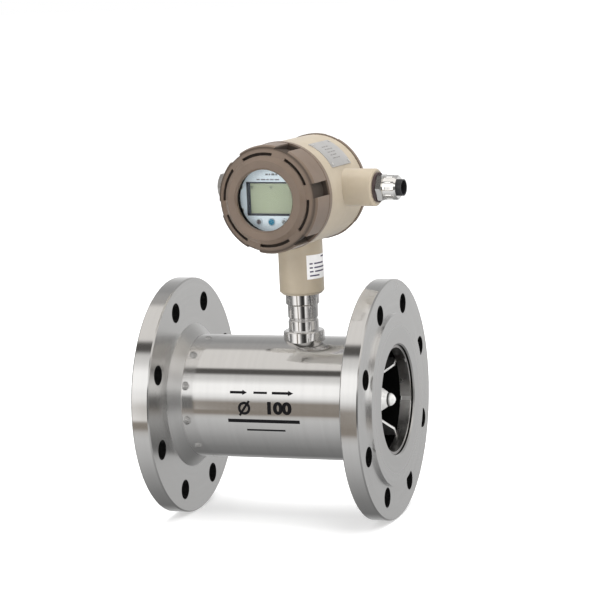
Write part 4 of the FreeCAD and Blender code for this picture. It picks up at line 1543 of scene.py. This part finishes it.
@dataclass
class DisplayFace:
    """The display behind the window: plate, crystal, frame, print and keys.

    Places on the face are measured from the head's axis, to the right and up. Dashes are in millimetres.
    """

    face: Colour = (0.70, 0.77, 0.84)
    # The film's glow is painted light: it brightens the face behind the window, which is no lamp.
    film: Moulded = Moulded("display film", (0.70, 0.77, 0.84), dull=0.35, grain=0.03, glow=0.07)
    crystal: Moulded = Moulded("liquid crystal", (0.33, 0.365, 0.25), dull=0.18, grain=0.02)
    guide: Moulded = Moulded("light guide", (0.5, 0.5, 0.48), dull=0.3)
    board: Moulded = Moulded("circuit lacquer", (0.03, 0.12, 0.06), dull=0.35)
    brass: Plated = Plated("turned brass", (0.62, 0.45, 0.2), dull=0.3)
    nickel: Plated = Plated("screw nickel", (0.6, 0.59, 0.57), dull=0.3)
    switch: Moulded = Moulded("switch plastic", (0.02, 0.02, 0.02), dull=0.4)
    ink: Moulded = Moulded("display ink", (0.03, 0.035, 0.05), dull=0.5, grain=0.03)
    faint_ink: Moulded = Moulded("faint display ink", (0.20, 0.20, 0.23), dull=0.5, grain=0.03)
    key_dull: float = 0.4
    key_finishes: tuple[tuple[str, str, Colour, Span], ...] = (
        ("button_left", "dark key", (0.09, 0.07, 0.08), (1.5 * MM, 3.0 * MM)),
        ("button_enter", "blue key", (0.0, 0.17, 0.30), (2.3 * MM, 3.8 * MM)),
        ("button_right", "grey key", (0.22, 0.22, 0.23), (1.2 * MM, 2.8 * MM)),
    )
    frame_wide: float = 1.3 * MM
    frame_high: float = 0.55 * MM
    frame_bevel: float = 0.35
    print_gap: float = 0.03 * MM
    crystal_gap: float = 0.05 * MM
    # Width of the painted shadow along the crystal's left edge.
    shade: float = 2.8 * MM
    mark_places: tuple[float, ...] = (-18.5 * MM, 0.5 * MM)
    mark_bars: tuple[tuple[float, float, float, float], ...] = (
        (0.0, 10.5 * MM, 2.6 * MM, 0.9 * MM), (0.4 * MM, 8.9 * MM, 1.4 * MM, 0.7 * MM),
    )
    print_rows: tuple[tuple[float, float, tuple[float, ...], float, float], ...] = (
        (-4.0 * MM, 21.8 * MM, (2.4, 1.6, 3.2, 2.0), 1.5 * MM, 0.9 * MM),
        (-13.0 * MM, 17.2 * MM, (3.2, 4.6, 2.4, 3.8, 4.4), 1.2 * MM, 1.0 * MM),
    )

    def build(self) -> None:
        """Dress the nodes and make the frame and the print."""
        for nodes, finish in ((["display_plate"], self.film), (["lcd_module"], self.crystal),
                              (["backlight"], self.guide), (["display_board"], self.board),
                              (["display_spacers", "display_posts"], self.brass),
                              (["display_screws"], self.nickel), (["button_switches"], self.switch)):
            dress_all(nodes, finish.make())
        self.keys()
        dark = self.ink.make()
        self.bezel(dark)
        self.crystal_shadow_and_marks(dark)
        self.face_print(self.faint_ink.make())

    def keys(self) -> None:
        """Dress the three keys."""
        for node, name, colour, fade in self.key_finishes:
            low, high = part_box(node)
            front = middle(node) + HEAD_FRONT * (high.y - low.y) / 2
            key = KeyCap(name, colour, self.key_dull, centre=tuple(front), film=self.face, fade=fade)
            dress_all([node], key.make())

    def work_plane(self, node: str, lift: float) -> Matrix:
        """Plane of work just in front of a node of the display.

        Args:
            node: The node.
            lift: Distance in front of its foremost point, metres.

        Returns:
            The plane's matrix.
        """
        front = reach(node, HEAD_CENTRE, HEAD_FRONT)
        return face_place(HEAD_CENTRE + HEAD_FRONT * (front + lift), HEAD_RIGHT, UP)

    def crystal_size(self) -> tuple[float, float]:
        """Width and height of the crystal on its own face."""
        low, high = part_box("lcd_module")
        return (high.x - low.x) / math.cos(HEAD_TURN), high.z - low.z

    def bezel(self, finish: bpy.types.Material) -> None:
        """Raised dark frame round the crystal.

        Args:
            finish: Its material.
        """
        wide, tall = self.crystal_size()
        deselect()
        bpy.ops.mesh.primitive_plane_add(size=1.0)
        rim = bpy.context.object
        place_mesh(rim, Matrix.Diagonal((wide + self.frame_wide, tall + self.frame_wide, 1.0, 1.0)))
        bpy.ops.object.mode_set(mode="EDIT")
        bpy.ops.mesh.select_all(action="SELECT")
        bpy.ops.mesh.inset(thickness=self.frame_wide, depth=0.0)
        bpy.ops.mesh.delete(type="FACE")
        bpy.ops.object.mode_set(mode="OBJECT")
        wall = rim.modifiers.new("wall", "SOLIDIFY")
        wall.thickness = self.frame_high
        wall.offset = 1.0
        edge = rim.modifiers.new("edge", "BEVEL")
        edge.width = self.frame_high * self.frame_bevel
        edge.segments = 2
        apply_modifiers(rim)
        rim.matrix_world = self.work_plane("display_plate", self.print_gap)
        settle(rim, "display_frame", "head", finish)

    def crystal_shadow_and_marks(self, ink: bpy.types.Material) -> None:
        """Painted shadow along the left and lower edges of the crystal, and two faint marks at its top.

        Args:
            ink: Material of the marks.
        """
        bed = PrintBed(self.work_plane("lcd_module", self.crystal_gap))
        wide, tall = self.crystal_size()
        away = middle("lcd_module") - HEAD_CENTRE
        right = away.dot(HEAD_RIGHT)
        # Painted shadow: dark bars where the recess shades the crystal's left and lower edges.
        bed.bar(right - wide / 2 + self.shade / 2, away.z, self.shade, tall, 4)
        bed.bar(right, away.z - tall / 2 + self.shade / 4, wide, self.shade / 2, 4)
        for place in self.mark_places:
            for aside, up, length, high in self.mark_bars:
                bed.bar(place + aside, up, length, high, 4)
        bed.finish("crystal_shadow_and_marks", "head", "black_plastic", ink)

    def face_print(self, ink: bpy.types.Material) -> None:
        """Plain dashes printed above the crystal.

        Args:
            ink: Material of the marks.
        """
        bed = PrintBed(self.work_plane("display_plate", self.print_gap))
        for row in self.print_rows:
            bed.row(*row)
        bed.finish("display_print", "head", "black_plastic", ink)


@dataclass
class RearTerminals:
    """Terminal block behind the rear cover."""

    block: Moulded = Moulded("terminal plastic", (0.02, 0.022, 0.02), dull=0.4)
    nickel: Plated = Plated("terminal nickel", (0.58, 0.57, 0.55), dull=0.3)

    def build(self) -> None:
        """Dress the nodes."""
        dress_all(["terminal_block"], self.block.make())
        dress_all(["terminal_screws"], self.nickel.make())


@dataclass
class ConduitFittings:
    """Plug of the left boss and the round connector of the right one."""

    nickel: TurnedSteel = TurnedSteel("turned nickel", (0.93, 0.92, 0.90), dull=0.10, marks=0.06,
                                      axis=Axis.CONNECTOR)
    plug: Plated = Plated("plug nickel", (0.60, 0.58, 0.56), dull=0.22)
    washer: Moulded = Moulded("washer rubber", (0.05, 0.03, 0.03), dull=0.5)
    insert: Moulded = Moulded("connector plastic", (0.016, 0.016, 0.018), dull=0.4)
    gold: Plated = Plated("contact gold", (0.75, 0.55, 0.22), dull=0.2)

    def build(self) -> None:
        """Dress the nodes."""
        dress_all(["connector_nut", "connector_sleeve"], self.nickel.make())
        dress_all(["conduit_plug"], self.plug.make())
        dress_all(["connector_washer"], self.washer.make())
        dress_all(["connector_insert"], self.insert.make())
        dress_all(["connector_pins"], self.gold.make())


# ------------------------------------------------------------------ studio
@dataclass
class Studio:
    """Camera, soft light and a plain floor.

    Each level of the surround is an angle in degrees, a brightness and a warmth. The bands go by the
    angle about the pipe and are what tube and rims mirror. The strips go by the angle about the stem
    and are what upright parts mirror. They fill a low belt, except where the tube mirrors it and behind.
    """

    azimuth: float = 19.9
    elevation: float = 9.0
    roll: float = -2.64
    distance: float = 2.108
    target: tuple[float, float, float] = (0.1294, 0.0, 0.0909)
    lens: float = 138.0
    sensor: float = 36.0
    far: float = 50.0
    fill: float = 0.75
    bands: Levels = (
        (-180.0, 0.78, 0.0), (-171.0, 0.74, 0.0), (-164.0, 0.56, 0.0), (-150.0, 0.46, 0.0),
        (-129.0, 0.21, 0.0), (-100.0, 0.29, 0.0), (-75.0, 0.44, 0.0), (-54.0, 0.62, 0.0),
        (-33.0, 0.76, 0.0), (-26.5, 0.70, 0.04), (-22.5, 0.35, 0.22), (-1.0, 0.35, 0.22),
        (3.0, 0.70, 0.05), (9.0, 1.18, 0.01), (18.0, 1.45, 0.01), (32.0, 1.45, 0.01),
        (41.0, 1.0, 0.02), (49.5, 0.84, 0.03), (53.5, 0.12, 0.10), (61.5, 0.12, 0.10),
        (65.0, 1.0, 0.06), (105.0, 1.0, 0.06), (111.0, 0.52, 0.05), (124.0, 0.50, 0.02),
        (132.0, 0.42, 0.0), (140.0, 0.45, 0.0), (156.0, 0.56, 0.0), (170.0, 0.78, 0.0),
        (180.0, 0.78, 0.0),
    )
    strips: Levels = (
        (-150.0, 0.40, 0.0), (-118.0, 0.30, 0.0), (-100.0, 0.16, 0.0), (-85.0, 0.08, 0.0),
        (-70.0, 0.04, 0.02), (-60.0, 0.06, 0.03), (-49.0, 0.95, 0.02), (-39.0, 1.45, 0.02),
        (-9.0, 1.45, 0.03), (-1.0, 0.60, 0.03), (7.0, 0.12, 0.05), (22.0, 0.03, 0.05),
        (29.0, 0.10, 0.05), (35.0, 1.1, 0.03), (40.0, 1.6, 0.02), (47.0, 1.4, 0.02),
        (54.0, 0.45, 0.02), (64.0, 0.04, 0.03), (74.0, 0.10, 0.02), (86.0, 0.22, 0.0),
        (100.0, 0.32, 0.0), (116.0, 0.38, 0.0), (134.0, 0.46, 0.0),
    )
    belt_low: Span = (-0.27, -0.22)
    belt_high: Span = (0.20, 0.10)
    tube_way: float = -19.9
    tube_width: Span = (2.5, 5.0)
    behind_right: Span = (145.0, 130.0)
    behind_left: Span = (-155.0, -145.0)
    lamps: tuple[tuple[str, tuple[float, float, float], float, float], ...] = (
        ("key", (1.1, -0.9, 1.7), 1.2, 17.0),
        ("top", (0.2, 0.4, 1.9), 1.6, 34.0),
        ("fill", (-1.4, -1.4, 0.5), 1.4, 8.0),
    )
    ground: Moulded = Moulded("pale floor", (0.93, 0.93, 0.93), dull=0.9, grain=0.02, glow=0.40)
    floor_size: float = 30.0
    floor_place: float = 0.11
    floor_gap: float = 0.2 * MM

    def build(self) -> None:
        """Make camera, world, lamps and floor."""
        self.camera()
        self.world()
        for name, place, size, watts in self.lamps:
            self.lamp(name, place, size, watts)
        self.floor()
        bpy.context.scene.view_settings.view_transform = "Standard"

    def camera(self) -> None:
        """Place the camera on its sphere round the target and roll it."""
        turn, rise, roll = map(math.radians, (self.azimuth, self.elevation, self.roll))
        back = Vector((math.sin(turn) * math.cos(rise), -math.cos(turn) * math.cos(rise), math.sin(rise)))
        right = (-back).cross(UP).normalized()
        up = right.cross(-back)
        rolled = right * math.cos(roll) + up * math.sin(roll)
        raised = up * math.cos(roll) - right * math.sin(roll)
        lens = bpy.data.cameras.new("camera")
        lens.lens = self.lens
        lens.sensor_width = self.sensor
        lens.clip_end = self.far
        view = bpy.data.objects.new("camera", lens)
        bpy.context.scene.collection.objects.link(view)
        turned = Matrix((rolled, raised, back)).transposed().to_4x4()
        view.matrix_world = Matrix.Translation(Vector(self.target) + back * self.distance) @ turned
        bpy.context.scene.camera = view

    def levels(self, graph: Graph, angle: bpy.types.NodeSocket, table: Levels,
               peak: float) -> bpy.types.NodeSocket:
        """Colour of the surround by an angle.

        Args:
            graph: The world's nodes.
            angle: Angle in radians between -pi and pi.
            table: Degrees, brightness and warmth, in rising order.
            peak: Brightness that stands for white.

        Returns:
            The colour socket.
        """
        share = graph.math("ADD", graph.math("DIVIDE", angle, 2 * math.pi), 0.5)
        stops = []
        for degrees, level, warm in table:
            colour = (level / peak, level * (1 - warm / 2) / peak, level * (1 - warm) / peak)
            stops.append(((degrees + 180.0) / 360.0, colour))
        return graph.ramp(share, stops)

    def world(self) -> None:
        """White surround for the eye, soft boxes and flags for reflections, even fill for the rest."""
        world = bpy.data.worlds.new("studio")
        bpy.context.scene.world = world
        world.use_nodes = True
        world.node_tree.nodes.clear()
        graph = Graph(world.node_tree)
        parts = graph.add("ShaderNodeSeparateXYZ")
        graph.feed(parts, Vector=graph.add("ShaderNodeTexCoord").outputs["Generated"])
        along, side, high = parts.outputs
        ahead = graph.product(side, -1.0)
        peak = max(level for _, level, _ in self.bands + self.strips)
        banded = self.levels(graph, graph.math("ARCTAN2", high, ahead), self.bands, peak)
        heading = graph.math("ARCTAN2", along, ahead)
        striped = self.levels(graph, heading, self.strips, peak)
        degrees = graph.product(heading, 180.0 / math.pi)
        aside = graph.math("ABSOLUTE", graph.math("SUBTRACT", degrees, self.tube_way))
        share = graph.product(graph.edge(high, *self.belt_low), graph.edge(high, *self.belt_high),
                              graph.edge(aside, *self.tube_width), graph.edge(degrees, *self.behind_right),
                              graph.edge(degrees, *self.behind_left))
        rays = graph.add("ShaderNodeLightPath")
        boxes = graph.add("ShaderNodeBackground")
        graph.feed(boxes, Color=graph.blend(share, banded, striped), Strength=peak)
        even = graph.add("ShaderNodeBackground")
        graph.feed(even, Color=WHITE, Strength=self.fill)
        white = graph.add("ShaderNodeBackground")
        graph.feed(white, Color=WHITE, Strength=1.0)
        glossy = graph.add("ShaderNodeMixShader")
        graph.feed(glossy, i0=rays.outputs["Is Glossy Ray"], i1=even.outputs[0], i2=boxes.outputs[0])
        seen = graph.add("ShaderNodeMixShader")
        graph.feed(seen, i0=rays.outputs["Is Camera Ray"], i1=glossy.outputs[0], i2=white.outputs[0])
        output = graph.add("ShaderNodeOutputWorld")
        graph.feed(output, Surface=seen.outputs[0])

    def lamp(self, name: str, place: tuple[float, float, float], size: float, watts: float) -> None:
        """Add a square soft lamp aimed at the object.

        Args:
            name: Its name.
            place: Where it stands.
            size: Length of its side.
            watts: Its power.
        """
        light = bpy.data.lights.new(name, "AREA")
        light.size = size
        light.energy = watts
        lamp = bpy.data.objects.new(name, light)
        bpy.context.scene.collection.objects.link(lamp)
        aim = Vector(self.target) - Vector(place)
        lamp.matrix_world = Matrix.Translation(place) @ aim.to_track_quat("-Z", "Y").to_matrix().to_4x4()
        lamp.visible_glossy = False

    def floor(self) -> None:
        """Plain pale floor under the flanges."""
        deselect()
        bpy.ops.mesh.primitive_grid_add(x_subdivisions=4, y_subdivisions=4, size=self.floor_size)
        floor = bpy.context.object
        floor.data.transform(Matrix.Translation((self.floor_place, 0.0, CAD_LOW.z - self.floor_gap)))
        floor.name = "studio_floor"
        floor.data.materials.append(self.ground.make())
        floor.visible_glossy = False


def main() -> None:
    """Build the finishes, marks and studio in order."""
    logging.basicConfig(level=logging.INFO, format="%(name)s: %(message)s")
    for part in (PipeSection(), FlowGuides(), RotorSet(), PickupStem(), HeadHousing(), Covers(),
                 DisplayFace(), RearTerminals(), ConduitFittings(), Studio()):
        LOG.info("building %s", type(part).__name__)
        part.build()


if __name__ == "__main__":
    main()
